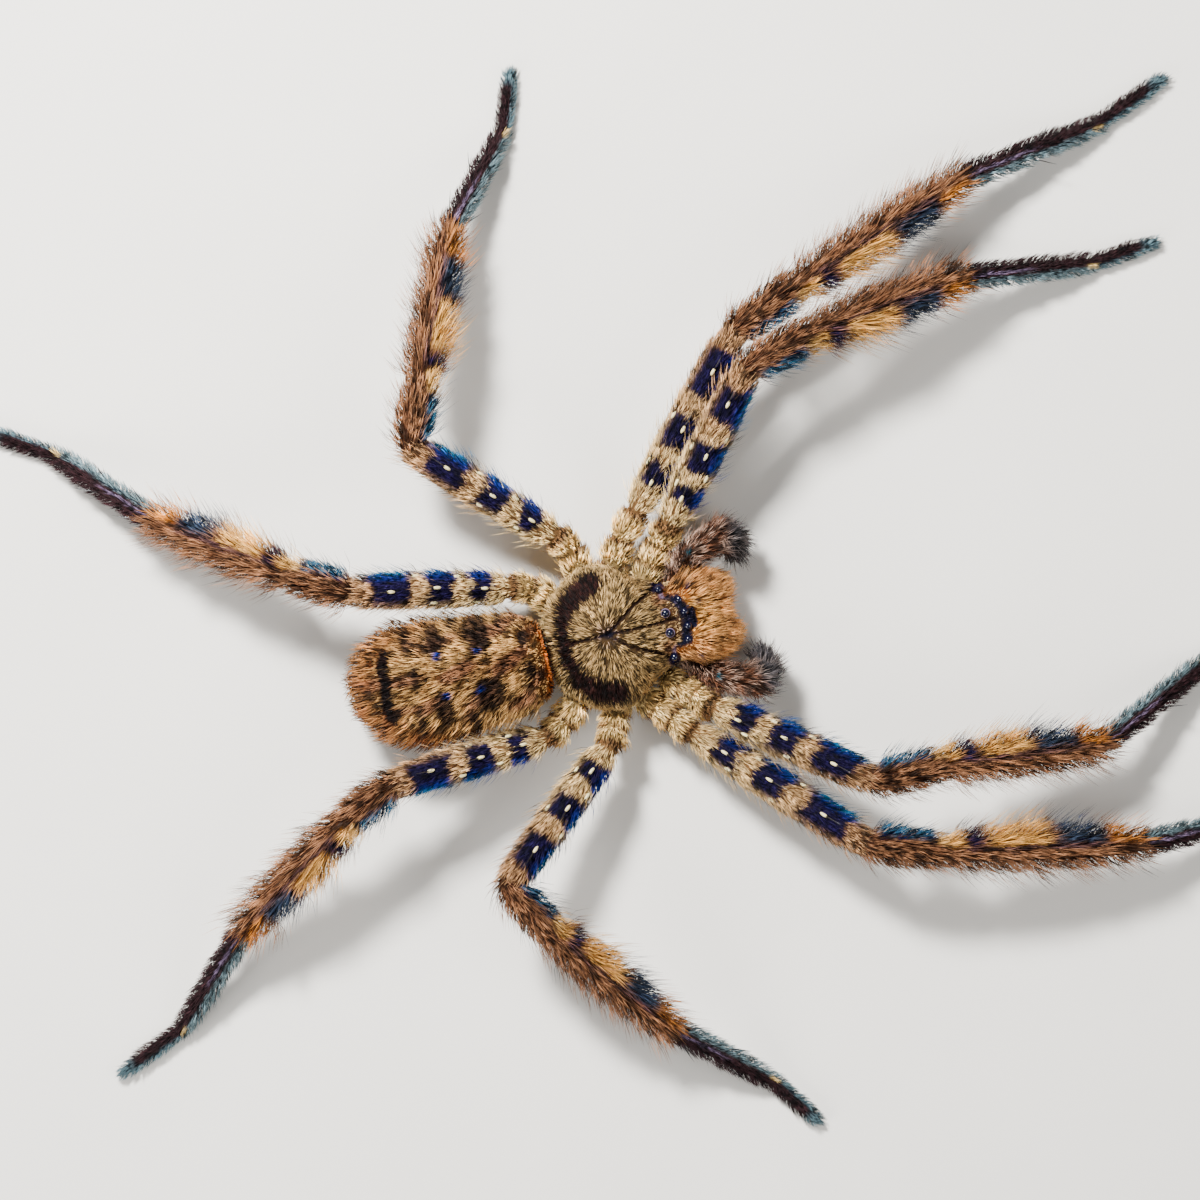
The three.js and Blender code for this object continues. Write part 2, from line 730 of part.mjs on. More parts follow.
function legLocks(leg) {
  const joints = legJoints(leg);
  const foreSide = leg.side === "left" ? -1 : 1;
  const length = (k, radii) => ({ start: joints[k], end: joints[k + 1], radii });
  const metatarsus = length(6, METATARSUS_RADII);
  return {
    coxa: locksOnLength(length(2, COXA_RADII.map(() => COXA_RADII[2])), COXA_ROWS, 0, 0.8),
    femur: spinesOnLength(length(3, FEMUR_RADII), FEMUR_SPINES, foreSide),
    patella: locksOnLength(length(4, PATELLA_RADII), PATELLA_ROWS),
    tibia: [
      ...locksOnLength(length(5, TIBIA_RADII), TIBIA_ROWS),
      ...spinesOnLength(length(5, TIBIA_RADII), TIBIA_SPINES, foreSide),
    ],
    foot: [
      ...locksOnLength(metatarsus, METATARSUS_ROWS),
      ...spinesOnLength(metatarsus, METATARSUS_SPINES, foreSide),
    ],
  };
}

// Assembly

const spider = new THREE.Group();
const inner = new THREE.Group();
spider.add(inner);
const nodes = new Map();

function addNode(name, look, solid) {
  nodes.set(name, { look, solid: largestPiece(solid) });
}

function boxesMeet(one, other) {
  return [0, 1, 2].every((k) => one.min[k] < other.max[k] && one.max[k] > other.min[k]);
}

// Fuses locks onto a node. A lock that comes within a gap of another node or the floor is shortened,
// and it is left out where even its shortest length doesn't clear.
function grow(name, locks) {
  const others = [...nodes].filter(([other]) => other !== name)
    .map(([, { solid }]) => ({ solid, box: solid.boundingBox() }));
  const isClear = (fat) => {
    const box = fat.boundingBox();
    if (box.min[2] < 0) return false;
    return others.every((other) => !boxesMeet(box, other.box) || fat.intersect(other.solid).isEmpty());
  };
  const node = nodes.get(name);
  let solid = node.solid;
  for (const lock of locks) {
    const share = [1, 0.85, 0.7, 0.55].find((length) => isClear(lockSolid(lock, length, SWELL)));
    if (share) solid = solid.add(lockSolid(lock, share));
  }
  node.solid = largestPiece(solid);
}

function eyeBall(place, radius, sides = 8) {
  const ball = new THREE.SphereGeometry(radius, sides, 4);
  ball.translate(place.x, place.y, place.z);
  return solidOf(ball);
}

const eyePlaces = [];
for (const [name, [x, y]] of Object.entries(EYES)) {
  for (const [sideName, side] of [["left", 1], ["right", -1]]) {
    const z = carapaceHeightAt(x, y) - 0.05;
    eyePlaces.push({ name: `${name}_${sideName}`, place: new THREE.Vector3(x, y * side, z) });
  }
}

const carapace = eyePlaces.reduce(
  (solid, { place }) => solid.subtract(eyeBall(place, EYE_RADIUS + SOCKET_GAP, 6)),
  carapaceSolid(),
);
const swollenCarapace = carapaceSolid(SWELL);
const swollenSternum = sternumSolid(SWELL);
const abdomen = abdomenSolid();

addNode("carapace", "carapace", carapace);
addNode("sternum", "sternum", sternumSolid());
addNode("abdomen", "abdomen", abdomen);
addNode("pedicel", "sternum", pedicelSolid().subtract(swollenSternum)
  .subtract(swollenCarapace).subtract(abdomenBody(SWELL)));
eyePlaces.forEach(({ name, place }) => addNode(name, "eye", eyeBall(place, EYE_RADIUS)));

for (const [sideName, side] of [["left", 1], ["right", -1]]) {
  const jaw = eyePlaces.reduce(
    (solid, { place }) => solid.subtract(eyeBall(place, EYE_RADIUS + SWELL)),
    jawSolid(side).subtract(swollenCarapace),
  );
  addNode(`chelicera_${sideName}`, "jaw", jaw);
  addNode(`fang_${sideName}`, "fang", fangSolid(side));
  const { palp_femur: palpFemur, palp_tarsus: palpTarsus } = palpParts(sideName, side);
  addNode(`palp_femur_${sideName}`, "palp", palpFemur.subtract(swollenCarapace)
    .subtract(jawSolid(side, GAP)).subtract(swollenSternum));
  addNode(`palp_tarsus_${sideName}`, "palp", palpTarsus);
}

for (const leg of LEGS) {
  const solids = legSolids(leg);
  solids.coxa = solids.coxa.subtract(swollenCarapace).subtract(swollenSternum);
  const legAhead = LEGS.find(({ pair, side }) => pair === leg.pair - 1 && side === leg.side);
  if (legAhead) solids.coxa = solids.coxa.subtract(coxaSolid(legAhead, GAP));
  for (const [segment, solid] of Object.entries(solids)) {
    addNode(`leg${leg.pair}_${leg.side}_${segment}`, segment, solid);
  }
}

grow("abdomen", abdomenLocks());

for (const [sideName, side] of [["left", 1], ["right", -1]]) {
  const jaw = onSide(JAW_PLACES, side);
  const places = PALP_PLACES[sideName].map((place) => new THREE.Vector3(...place));
  grow(`chelicera_${sideName}`, [1, 2].flatMap((k) => locksOnLength({
    start: jaw[k],
    end: jaw[k + 1],
    radii: () => jawRadius((k + 0.5) / 4),
    sideways: LEFTWARD,
  }, JAW_ROWS)));
  grow(`palp_tarsus_${sideName}`, [2, 3].flatMap((k) => locksOnLength({
    start: places[k],
    end: places[k + 1],
    radii: () => PALP_LOCK_RADIUS,
    sideways: palpInward(side),
  }, k === 2 ? PALP_ROWS : PALP_ROWS.map((row) => ({ ...row, count: 1 })))));
}

for (const leg of LEGS) {
  for (const [segment, locks] of Object.entries(legLocks(leg))) {
    grow(`leg${leg.pair}_${leg.side}_${segment}`, locks);
  }
}

for (const [name, { look, solid }] of nodes) {
  const material = new THREE.MeshStandardMaterial({ ...LOOKS[look], metalness: 0 });
  const mesh = new THREE.Mesh(geometryOf(solid), material);
  mesh.name = name;
  inner.add(mesh);
}

// The finished model stands with its box's bottom centre on the origin
const box = new THREE.Box3().setFromObject(inner);
const middle = box.getCenter(new THREE.Vector3());
inner.position.set(-middle.x, -middle.y, -box.min.z);
spider.updateMatrixWorld(true);

export default spider;
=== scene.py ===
# %% [markdown]
# # A huntsman spider, life size
# The real animal is a flat, long-legged spider with a dense coat, seen from straight above.
# The solids of the body and legs are already packed. Here one smooth skin takes their place,
# and then the coat, the spines, the eyes, the fangs and the claws are made on that skin.
# The frame is loaded first, because every size below is measured from it.

# %% Load the frame
import math

import bpy
import numpy as np
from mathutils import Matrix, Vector
from mathutils.kdtree import KDTree


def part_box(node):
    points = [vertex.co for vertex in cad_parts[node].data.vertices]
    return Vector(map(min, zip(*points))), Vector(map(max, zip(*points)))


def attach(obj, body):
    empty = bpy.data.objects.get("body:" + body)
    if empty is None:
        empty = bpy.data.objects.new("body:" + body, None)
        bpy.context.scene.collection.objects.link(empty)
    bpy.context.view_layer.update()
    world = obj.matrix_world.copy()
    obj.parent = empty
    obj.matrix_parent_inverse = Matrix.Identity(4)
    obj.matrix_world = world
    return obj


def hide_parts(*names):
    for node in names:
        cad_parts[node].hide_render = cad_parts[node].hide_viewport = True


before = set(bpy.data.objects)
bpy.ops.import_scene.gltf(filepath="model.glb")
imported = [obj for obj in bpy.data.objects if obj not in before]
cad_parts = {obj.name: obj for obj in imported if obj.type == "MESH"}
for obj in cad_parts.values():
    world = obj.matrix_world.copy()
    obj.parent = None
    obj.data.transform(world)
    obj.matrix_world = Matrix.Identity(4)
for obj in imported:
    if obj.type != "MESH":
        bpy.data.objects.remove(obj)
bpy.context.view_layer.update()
MM = 0.001
BODY = "root"
rng = np.random.default_rng(20)

# %% [markdown]
# ## Where the spider stands
# All modelling below is done in millimetres from the middle of the carapace, the shield over the
# head and chest. One shift moves those places into the frame, and the carapace's own box gives it.

# %% Places
CARAPACE_MIDDLE_X = 0.36
carapace_low, carapace_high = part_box("carapace")
SHIFT = np.array([
    (carapace_low[0] + carapace_high[0]) / 2 / MM - CARAPACE_MIDDLE_X,
    (carapace_low[1] + carapace_high[1]) / 2 / MM,
    0.0,
])


def metres(place):
    """Turn a place in millimetres from the carapace into metres in the frame."""
    return (np.asarray(place, dtype=float) + SHIFT) * MM


print("shift in millimetres", SHIFT)

# %% [markdown]
# ## Camera
# The photograph looks straight down, with the spider's head turned a little above the picture's
# right. A long lens from far away keeps the legs from spreading, as a close-up lens does.

# %% Camera
BODY_TURN = math.radians(13.5)
VIEW_MIDDLE = (-0.59, 3.02)
VIEW_WIDTH = 96.0
CAMERA_HEIGHT = 600.0
SENSOR = 36.0

camera_data = bpy.data.cameras.new("camera")
camera_data.sensor_width = SENSOR
camera_data.lens = SENSOR * CAMERA_HEIGHT / VIEW_WIDTH
camera = bpy.data.objects.new("camera", camera_data)
bpy.context.scene.collection.objects.link(camera)
camera.location = metres((*VIEW_MIDDLE, CAMERA_HEIGHT))
camera.rotation_euler = (0, 0, -BODY_TURN)
bpy.context.scene.camera = camera
print("lens", round(camera_data.lens, 1))

# %% [markdown]
# ## Light
# Three large soft lamps and a pale surround work like a photographer's light tent. The key lamp
# stands to the upper left of the picture, so each hair has a lit side and a soft shadow.

# %% Light
LAMPS = {
    "key": {"place": (-70, 190, 230), "size": 55, "power": 4.1},
    "fill": {"place": (210, -150, 240), "size": 200, "power": 0.7},
    "rim": {"place": (-240, -120, 150), "size": 140, "power": 0.8},
}
for lamp_name, lamp in LAMPS.items():
    data = bpy.data.lights.new(lamp_name, "AREA")
    data.size = lamp["size"] * MM
    data.energy = lamp["power"]
    light = bpy.data.objects.new(lamp_name, data)
    bpy.context.scene.collection.objects.link(light)
    light.location = metres(lamp["place"])
    toward = Vector(metres((0, 0, 3))) - light.location
    light.rotation_euler = toward.to_track_quat("-Z", "Y").to_euler()

world = bpy.data.worlds.new("tent")
world.use_nodes = True
world.node_tree.nodes["Background"].inputs["Color"].default_value = (0.93, 0.95, 1.0, 1)
world.node_tree.nodes["Background"].inputs["Strength"].default_value = 0.22
bpy.context.scene.world = world
print("lamps", len(LAMPS))

# %% [markdown]
# ## Colours
# Colours are picked as screen values, which are easy to read off a photograph, and are turned
# into the linear values that a renderer works with.

# %% Colours


def linear(hex_colour):
    """Turn a screen colour such as #c8a578 into linear red, green and blue."""
    channels = np.array([int(hex_colour[k:k + 2], 16) / 255 for k in (1, 3, 5)])
    return np.where(channels <= 0.04045, channels / 12.92, ((channels + 0.055) / 1.055) ** 2.4)


INK = {name: linear(value) for name, value in {
    "cream": "#f2c67c",
    "pale": "#fad996",
    "tan": "#b0804f",
    "tan_tip": "#dba876",
    "indigo": "#1a103c",
    "blue": "#112a86",
    "teal": "#15788a",
    "brown": "#6a3a1e",
    "brown_tip": "#c0875e",
    "gold": "#e8983c",
    "gold_tip": "#ffc66e",
    "bluegrey": "#3d4f60",
    "orange": "#d0702c",
    "maroon": "#2c191c",
    "violet": "#8c7898",
    "grey": "#5f6c6e",
    "shield": "#654a28",
    "shield_tip": "#dcb476",
    "crescent": "#28120f",
    "belly": "#935f30",
    "belly_tip": "#ecb870",
    "belly_dark": "#2b1a12",
    "rust": "#8d4a24",
    "rust_tip": "#a26030",
    "jaw": "#c87028",
    "jaw_tip": "#fcb870",
    "palp": "#7d5038",
    "palp_tip": "#e6bfa6",
    "palp_dark": "#39444c",
    "socket": "#dccd96",
    "under": "#8d6f4c",
    "fringe": "#95a9a9",
    "night": "#101026",
}.items()}
print("colours", len(INK))


def blend(first, second, share):
    """Mix two colours, or two rows of colours, by a share from 0 to 1."""
    share = np.clip(np.asarray(share, dtype=float), 0, 1)[..., None]
    return first * (1 - share) + second * share


def ramp(value, low, high):
    """Rise smoothly from 0 at low to 1 at high."""
    x = np.clip((value - low) / (high - low), 0, 1)
    return x * x * (3 - 2 * x)


# %% [markdown]
# ## Shared effects
# Living surfaces are never one flat colour. A node group adds fine mottling to any colour and
# gives a height for the bump, so the skin, the spines, the fangs and the floor can all use it.

# %% Mottling group


def new_group(name, inputs, outputs):
    """Make a shader node group with its sockets."""
    group = bpy.data.node_groups.new(name, "ShaderNodeTree")
    for socket_name, kind, value in inputs:
        socket = group.interface.new_socket(socket_name, in_out="INPUT", socket_type=kind)
        socket.default_value = value
    for socket_name, kind in outputs:
        group.interface.new_socket(socket_name, in_out="OUTPUT", socket_type=kind)
    return group, group.nodes.new("NodeGroupInput"), group.nodes.new("NodeGroupOutput")


def wire(tree, *pairs):
    """Connect output sockets to input sockets."""
    for start, end in pairs:
        tree.links.new(start, end)


mottling, ins, outs = new_group(
    "mottling",
    [("Color", "NodeSocketColor", (1, 1, 1, 1)), ("Scale", "NodeSocketFloat", 3000.0),
     ("Strength", "NodeSocketFloat", 0.3), ("Roughness", "NodeSocketFloat", 0.5)],
    [("Color", "NodeSocketColor"), ("Roughness", "NodeSocketFloat"), ("Height", "NodeSocketFloat")],
)
coordinates = mottling.nodes.new("ShaderNodeTexCoord")
noise = mottling.nodes.new("ShaderNodeTexNoise")
noise.inputs["Detail"].default_value = 4.0
darken = mottling.nodes.new("ShaderNodeMapRange")
darken.inputs["From Min"].default_value = 0.3
darken.inputs["From Max"].default_value = 0.7
less = mottling.nodes.new("ShaderNodeMath")
less.operation = "SUBTRACT"
less.inputs[0].default_value = 1.0
mixer = mottling.nodes.new("ShaderNodeMix")
mixer.data_type = "RGBA"
mixer.blend_type = "MULTIPLY"
mixer.inputs[0].default_value = 1.0
spread = mottling.nodes.new("ShaderNodeMath")
spread.operation = "MULTIPLY_ADD"
spread.inputs[1].default_value = 0.25
wire(
    mottling,
    (coordinates.outputs["Object"], noise.inputs["Vector"]),
    (ins.outputs["Scale"], noise.inputs["Scale"]),
    (noise.outputs["Fac"], darken.inputs["Value"]),
    (ins.outputs["Strength"], less.inputs[1]),
    (less.outputs[0], darken.inputs["To Min"]),
    (ins.outputs["Color"], mixer.inputs["A"]),
    (darken.outputs["Result"], mixer.inputs["B"]),
    (noise.outputs["Fac"], spread.inputs[0]),
    (ins.outputs["Roughness"], spread.inputs[2]),
    (mixer.outputs["Result"], outs.inputs["Color"]),
    (spread.outputs[0], outs.inputs["Roughness"]),
    (noise.outputs["Fac"], outs.inputs["Height"]),
)
print("group", mottling.name)

# %% [markdown]
# One function makes every material: a colour, fixed or painted on the mesh, goes through the
# mottling group into the shader, and the group's height drives a bump.

# %% Materials


def finish(name, colour=None, painted=None, scale=3000.0, strength=0.3, roughness=0.4, bump=0.0002,
           coat=0.0, shine=0.5):
    """Make a mottled material from a fixed colour or from a painted attribute."""
    material = bpy.data.materials.new(name)
    material.use_nodes = True
    tree = material.node_tree
    shader = tree.nodes["Principled BSDF"]
    effect = tree.nodes.new("ShaderNodeGroup")
    effect.node_tree = mottling
    effect.inputs["Scale"].default_value = scale
    effect.inputs["Strength"].default_value = strength
    effect.inputs["Roughness"].default_value = roughness
    if painted:
        paint = tree.nodes.new("ShaderNodeVertexColor")
        paint.layer_name = painted
        wire(tree, (paint.outputs["Color"], effect.inputs["Color"]))
    else:
        effect.inputs["Color"].default_value = (*colour, 1)
    relief = tree.nodes.new("ShaderNodeBump")
    relief.inputs["Distance"].default_value = bump
    relief.inputs["Strength"].default_value = 0.6
    wire(
        tree,
        (effect.outputs["Color"], shader.inputs["Base Color"]),
        (effect.outputs["Roughness"], shader.inputs["Roughness"]),
        (effect.outputs["Height"], relief.inputs["Height"]),
        (relief.outputs["Normal"], shader.inputs["Normal"]),
    )
    shader.inputs["Coat Weight"].default_value = coat
    shader.inputs["Specular IOR Level"].default_value = shine
    return material


skin_finish = finish("spider_skin", painted="markings", strength=0.45, roughness=0.65, bump=0.0001,
                     shine=0.06)
coat_finish = finish("spider_hair", painted="coat_colour", scale=900.0, strength=0.3,
                     roughness=0.45, bump=0.00001, shine=0.12)
floor_finish = finish("pale_floor", colour=linear("#dcd8d0"), scale=60.0, strength=0.04,
                      roughness=0.7, bump=0.00005)
print("materials", [material.name for material in (skin_finish, coat_finish, floor_finish)])

# %% [markdown]
# ## Floor
# The model rests on the small flats under its feet, so a plain pale floor lies at that height.

# %% Floor
FLOOR_WIDTH = 1400.0
bpy.ops.object.select_all(action="DESELECT")
bpy.ops.mesh.primitive_plane_add(size=FLOOR_WIDTH * MM, location=(0, 0, 0))
floor = bpy.context.object
floor.name = "floor"
floor.data.materials.append(floor_finish)
print("floor", floor.name)

# %% [markdown]
# ## Legs
# Each leg is a chain of straight lengths: coxa, trochanter, femur, patella, tibia, metatarsus and
# tarsus. The lengths are the same on both sides, and only their headings follow the pose.

# %% Leg sizes
PLAN_LENGTHS = {
    1: (13.9, 5.5, 13.1, 10.8, 5.1),
    2: (16.4, 6.1, 15.6, 12.2, 6.1),
    3: (13.6, 4.9, 12.3, 9.5, 4.6),
    4: (12.8, 4.7, 11.8, 9.9, 5.6),
}
AXIS_HEIGHTS = {
    1: (4.3, 8.5, 8.2, 4.4, 0.64, 0.48),
    2: (3.7, 6.9, 6.9, 4.0, 0.64, 0.48),
    3: (3.9, 7.9, 7.7, 4.1, 0.64, 0.48),
    4: (3.9, 7.9, 7.7, 4.1, 0.64, 0.48),
}
LEGS = {
    "leg1_left": (((3.9, 4.6), (5.1, 6.2), (6.0, 7.4)), (50, 16, 7, -6, 5)),
    "leg2_left": (((1.0, 5.4), (2.1, 7.3), (3.7, 9.0)), (48, 22, 20, 9, 22)),
    "leg3_left": (((-1.7, 5.3), (-1.8, 7.4), (-2.7, 8.6)), (135, 67, 67, 49, 70)),
    "leg4_left": (((-4.1, 3.7), (-5.7, 5.2), (-7.1, 5.6)), (168, 151, 145, 134, 147)),
    "leg1_right": (((3.9, -5.1), (5.1, -6.2), (6.1, -7.3)), (-38, 0, -7, 24, 19)),
    "leg2_right": (((1.7, -6.2), (2.9, -7.5), (4.0, -8.8)), (-46, -19, -12, -2, 3)),
    "leg3_right": (((-1.4, -6.0), (-2.0, -7.2), (-2.5, -8.4)), (-140, -61, -53, -42, -55)),
    "leg4_right": (((-4.2, -4.3), (-5.8, -5.8), (-7.1, -6.6)), (-177, -155, -147, -136, -157)),
}
COXA_HEIGHTS = (2.6, 3.1)
COXA_INWARD = 1.4
SEGMENTS = ("coxa", "coxa", "coxa", "femur", "patella", "tibia", "metatarsus", "tarsus")
SKIN_RADII = {
    "coxa": (0.92, 1.02, 0.9),
    "femur": (0.9, 1.17, 1.02),
    "patella": (0.96, 1.08, 1.0),
    "tibia": (0.94, 1.04, 0.78),
    "metatarsus": (0.68, 0.6, 0.46),
    "tarsus": (0.45, 0.47, 0.4),
}
PINCH = {"coxa": 0.2, "femur": 0.24, "patella": 0.16, "tibia": 0.16, "metatarsus": 0.12, "tarsus": 0.1}


def leg_joints(name):
    """List the joints of one leg from the sternum to the tip, in millimetres."""
    base, headings = LEGS[name]
    pair = int(name[3])
    heights = AXIS_HEIGHTS[pair]
    coxa, trochanter, femur = (np.array(place) for place in base)
    inward = (coxa - trochanter) / np.linalg.norm(coxa - trochanter) * COXA_INWARD
    joints = [
        np.array([*(coxa + inward), COXA_HEIGHTS[0]]),
        np.array([*coxa, COXA_HEIGHTS[0]]),
        np.array([*trochanter, COXA_HEIGHTS[1]]),
        np.array([*femur, heights[0]]),
    ]
    for length, heading, height in zip(PLAN_LENGTHS[pair], headings, heights[1:]):
        turn = math.radians(heading)
        x, y, _ = joints[-1]
        joints.append(np.array([x + length * math.cos(turn), y + length * math.sin(turn), height]))
    return joints


def size_along(sizes, step):
    """Read a size from its values at the root, middle and end of a length."""
    root, middle, end = sizes
    swell = np.sin(np.pi * np.clip(step, 0, 1))
    return np.where(step < 0.5, root, end) * (1 - swell) + middle * swell


def skin_radius(kind, step):
    """Give the skin's radius along a segment, drawn in where it meets its neighbours."""
    narrowing = PINCH[kind] * (np.exp(-(step / 0.07) ** 2) + np.exp(-((1 - step) / 0.07) ** 2))
    return size_along(SKIN_RADII[kind], step) * (1 - narrowing)


print("legs", len(LEGS), "tip of the first", leg_joints("leg1_left")[-1].round(1))

# %% [markdown]
# ## Jaws and palps
# The two jaws, or chelicerae, stand out in front of the face and turn down. Beside each is a
# palp, a short feeler like a small leg, whose end curves down and inward.

# %% Jaw and palp sizes
JAW_JOINTS = ((4.8, 1.65, 5.0), (6.3, 1.7, 5.05), (7.4, 1.72, 4.35), (7.9, 1.7, 3.2), (7.95, 1.7, 2.0))
JAW_RADII = (1.2, 1.5, 1.55, 1.4, 1.1)
PALP_JOINTS = {
    "left": ((4.2, 1.7, 2.4), (5.7, 2.95, 2.45), (7.2, 5.0, 4.4), (10.1, 5.85, 4.5),
             (10.75, 5.1, 3.1), (10.75, 4.3, 2.0)),
    "right": ((4.2, -1.8, 2.4), (5.7, -3.1, 2.45), (7.1, -5.1, 4.4), (10.2, -6.15, 4.5),
              (10.95, -5.2, 3.1), (11.0, -4.3, 2.0)),
}
PALP_RADII = (0.75, 0.85, 0.85, 1.05, 1.0, 0.6)

chains = []
for leg_name in LEGS:
    joints = leg_joints(leg_name)
    fore = -1 if leg_name.endswith("left") else 1
    for k, kind in enumerate(SEGMENTS):
        chains.append({"part": leg_name, "kind": kind, "start": joints[k], "end": joints[k + 1],
                       "radius": lambda step, kind=kind: skin_radius(kind, step), "fore": fore, "order": k})
for side_name, side in (("left", 1), ("right", -1)):
    jaw = [np.array([x, y * side, z]) for x, y, z in JAW_JOINTS]
    palp = [np.array(place) for place in PALP_JOINTS[side_name]]
    for joints, radii, kind in ((jaw, JAW_RADII, "jaw"), (palp, PALP_RADII, "palp")):
        for k in range(len(joints) - 1):
            ends = (radii[k], radii[k + 1])
            chains.append({"part": f"{kind}_{side_name}", "kind": kind, "start": joints[k],
                           "end": joints[k + 1], "fore": -side, "order": k,
                           "radius": lambda step, ends=ends: ends[0] + (ends[1] - ends[0]) * step})
print("straight lengths", len(chains))

# %% [markdown]
# ## Carapace and abdomen
# The carapace is a low shield, broad at the rear and narrower at the head. The abdomen is a long
# oval, broadest in its rear half. Each has its width and height as a function of the way along
# it, and the skin and the coat both read them.

# %% Body sizes
CARAPACE_REAR = -5.43
CARAPACE_FRONT = 6.15
CARAPACE_HALF_WIDTH = 5.72
HEAD_HALF_WIDTH = 3.2
RIM_Z = 4.0
CARAPACE_TOP_Z = 7.25
FACE_TOP_Z = 6.4
WIDEST_AT = 0.42
HEAD_STARTS_AT = 0.82
ABDOMEN_FRONT = -5.95
ABDOMEN_REAR = -20.75
ABDOMEN_AXIS_Z = 4.9
ABDOMEN_HALF_WIDTH = 4.4
ABDOMEN_HALF_HEIGHT = 3.1
ABDOMEN_BROADEST_AT = 0.68
ABDOMEN_FRONT_SIZE = 0.76
SHOULDER_AT = 0.1
SHOULDER_SIZE = 0.66


def carapace_half_width(share):
    """Give half the carapace's width at a share of its length from the rear."""
    rear = np.sqrt(np.clip(1 - ((WIDEST_AT - share) / (WIDEST_AT + 0.02)) ** 2, 0, 1))
    body = CARAPACE_HALF_WIDTH + (HEAD_HALF_WIDTH - CARAPACE_HALF_WIDTH) * ramp(share, WIDEST_AT, HEAD_STARTS_AT)
    return np.where(share < WIDEST_AT, CARAPACE_HALF_WIDTH * rear, body * (1 - 0.2 * ramp(share, 0.86, 1) ** 2))


def carapace_top(share):
    """Give the height of the carapace's middle line."""
    low = RIM_Z + 0.6
    return low + (CARAPACE_TOP_Z - low) * ramp(share, -0.02, 0.36) - (
        CARAPACE_TOP_Z - FACE_TOP_Z) * ramp(share, 0.55, 1)


def abdomen_size(share):
    """Give the abdomen's size at a share of its length from the front, 1 at its widest."""
    share = np.clip(share, 0, 1)
    turn = np.clip((share - ABDOMEN_BROADEST_AT) / (1.004 - ABDOMEN_BROADEST_AT), 0, 1)
    onward = np.sin(np.clip(share / ABDOMEN_BROADEST_AT, 0, 1) * np.pi / 2)
    ahead = np.clip(1 - share / SHOULDER_AT, 0, 1)
    shoulder = SHOULDER_SIZE + (1 - SHOULDER_SIZE) * np.sqrt(1 - ahead ** 2)
    before = (ABDOMEN_FRONT_SIZE + (1 - ABDOMEN_FRONT_SIZE) * onward) * shoulder
    return np.where(share > ABDOMEN_BROADEST_AT, np.sqrt(1 - turn ** 2.3), before)


def abdomen_middle(share):
    """Give the middle of the abdomen, which bends a little to the left at the rear."""
    x = ABDOMEN_FRONT + (ABDOMEN_REAR - ABDOMEN_FRONT) * share
    y = -0.35 + 0.55 * share ** 2
    return np.stack([x, y, ABDOMEN_AXIS_Z + 0.25 * np.sin(np.pi * share)], axis=-1)


print("carapace width", round(2 * float(carapace_half_width(np.array(0.42))), 1))

# %% [markdown]
# ## Shaping the skin
# Each straight length starts as a filled circle that stands across it. The circle is extruded
# ring by ring, and each new ring is resized to the radius of that place, as one does by hand.
# The body is made the same way, with its width and its height resized on their own.

# %% Ring modelling
skin_pieces = []
RING_STEPS = (0.0, 0.05, 0.12, 0.3, 0.5, 0.7, 0.88, 0.95, 1.0)
LEG_SIDES = 16
BODY_SIDES = 32


def extrude_rings(rings, sides, turn):
    """Extrude a circle through rings, each a centre in millimetres and a width and height."""
    first_centre, first_wide, first_high = rings[0]
    bpy.ops.object.select_all(action="DESELECT")
    bpy.ops.mesh.primitive_circle_add(vertices=sides, radius=MM, fill_type="NGON",
                                      location=metres(first_centre), rotation=turn)
    piece = bpy.context.object
    bpy.ops.object.mode_set(mode="EDIT")
    bpy.ops.mesh.select_all(action="SELECT")
    before = (1.0, 1.0)
    place = metres(first_centre)
    for centre, wide, high in rings:
        step = metres(centre) - place
        if np.linalg.norm(step) > 0:
            bpy.ops.mesh.extrude_region_move(TRANSFORM_OT_translate={"value": tuple(step)})
        place = metres(centre)
        across, tall = wide / before[0], high / before[1]
        scale = (across,) * 3 if wide == high else (1.0, across, tall)
        bpy.ops.transform.resize(value=scale, center_override=tuple(place))
        before = (wide, high)
    bpy.ops.mesh.select_all(action="SELECT")
    bpy.ops.mesh.normals_make_consistent(inside=False)
    bpy.ops.object.mode_set(mode="OBJECT")
    skin_pieces.append(piece)
    return piece


for chain in chains:
    along = Vector(chain["end"] - chain["start"])
    rings = []
    for step in RING_STEPS:
        centre = chain["start"] + (chain["end"] - chain["start"]) * step
        radius = float(chain["radius"](np.array(step)))
        rings.append((centre, radius, radius))
    extrude_rings(rings, LEG_SIDES, along.to_track_quat("Z", "Y").to_euler())
print("lengths modelled", len(skin_pieces))

# %% [markdown]
# A ball sits in each joint of a leg, palp or jaw, so that the corner between two lengths is
# round and full before everything is welded.

# %% Joint balls
for chain in chains:
    radius = float(chain["radius"](np.array(1.0))) * 1.02
    bpy.ops.object.select_all(action="DESELECT")
    bpy.ops.mesh.primitive_uv_sphere_add(segments=16, ring_count=10, radius=radius * MM,
                                         location=metres(chain["end"]))
    skin_pieces.append(bpy.context.object)
print("pieces with balls", len(skin_pieces))

# %% [markdown]
# The carapace's rings stand across the body. Their lower halves would bulge under the shield, so
# a bisect cuts them flat just under the rim. The sternum below is a low oval plate.

# %% Body pieces
ACROSS_BODY = (0, math.pi / 2, 0)
BODY_STEPS = 0.5 - 0.5 * np.cos(np.pi * np.linspace(0.04, 0.96, 19))
RIM_DEPTH = 0.3

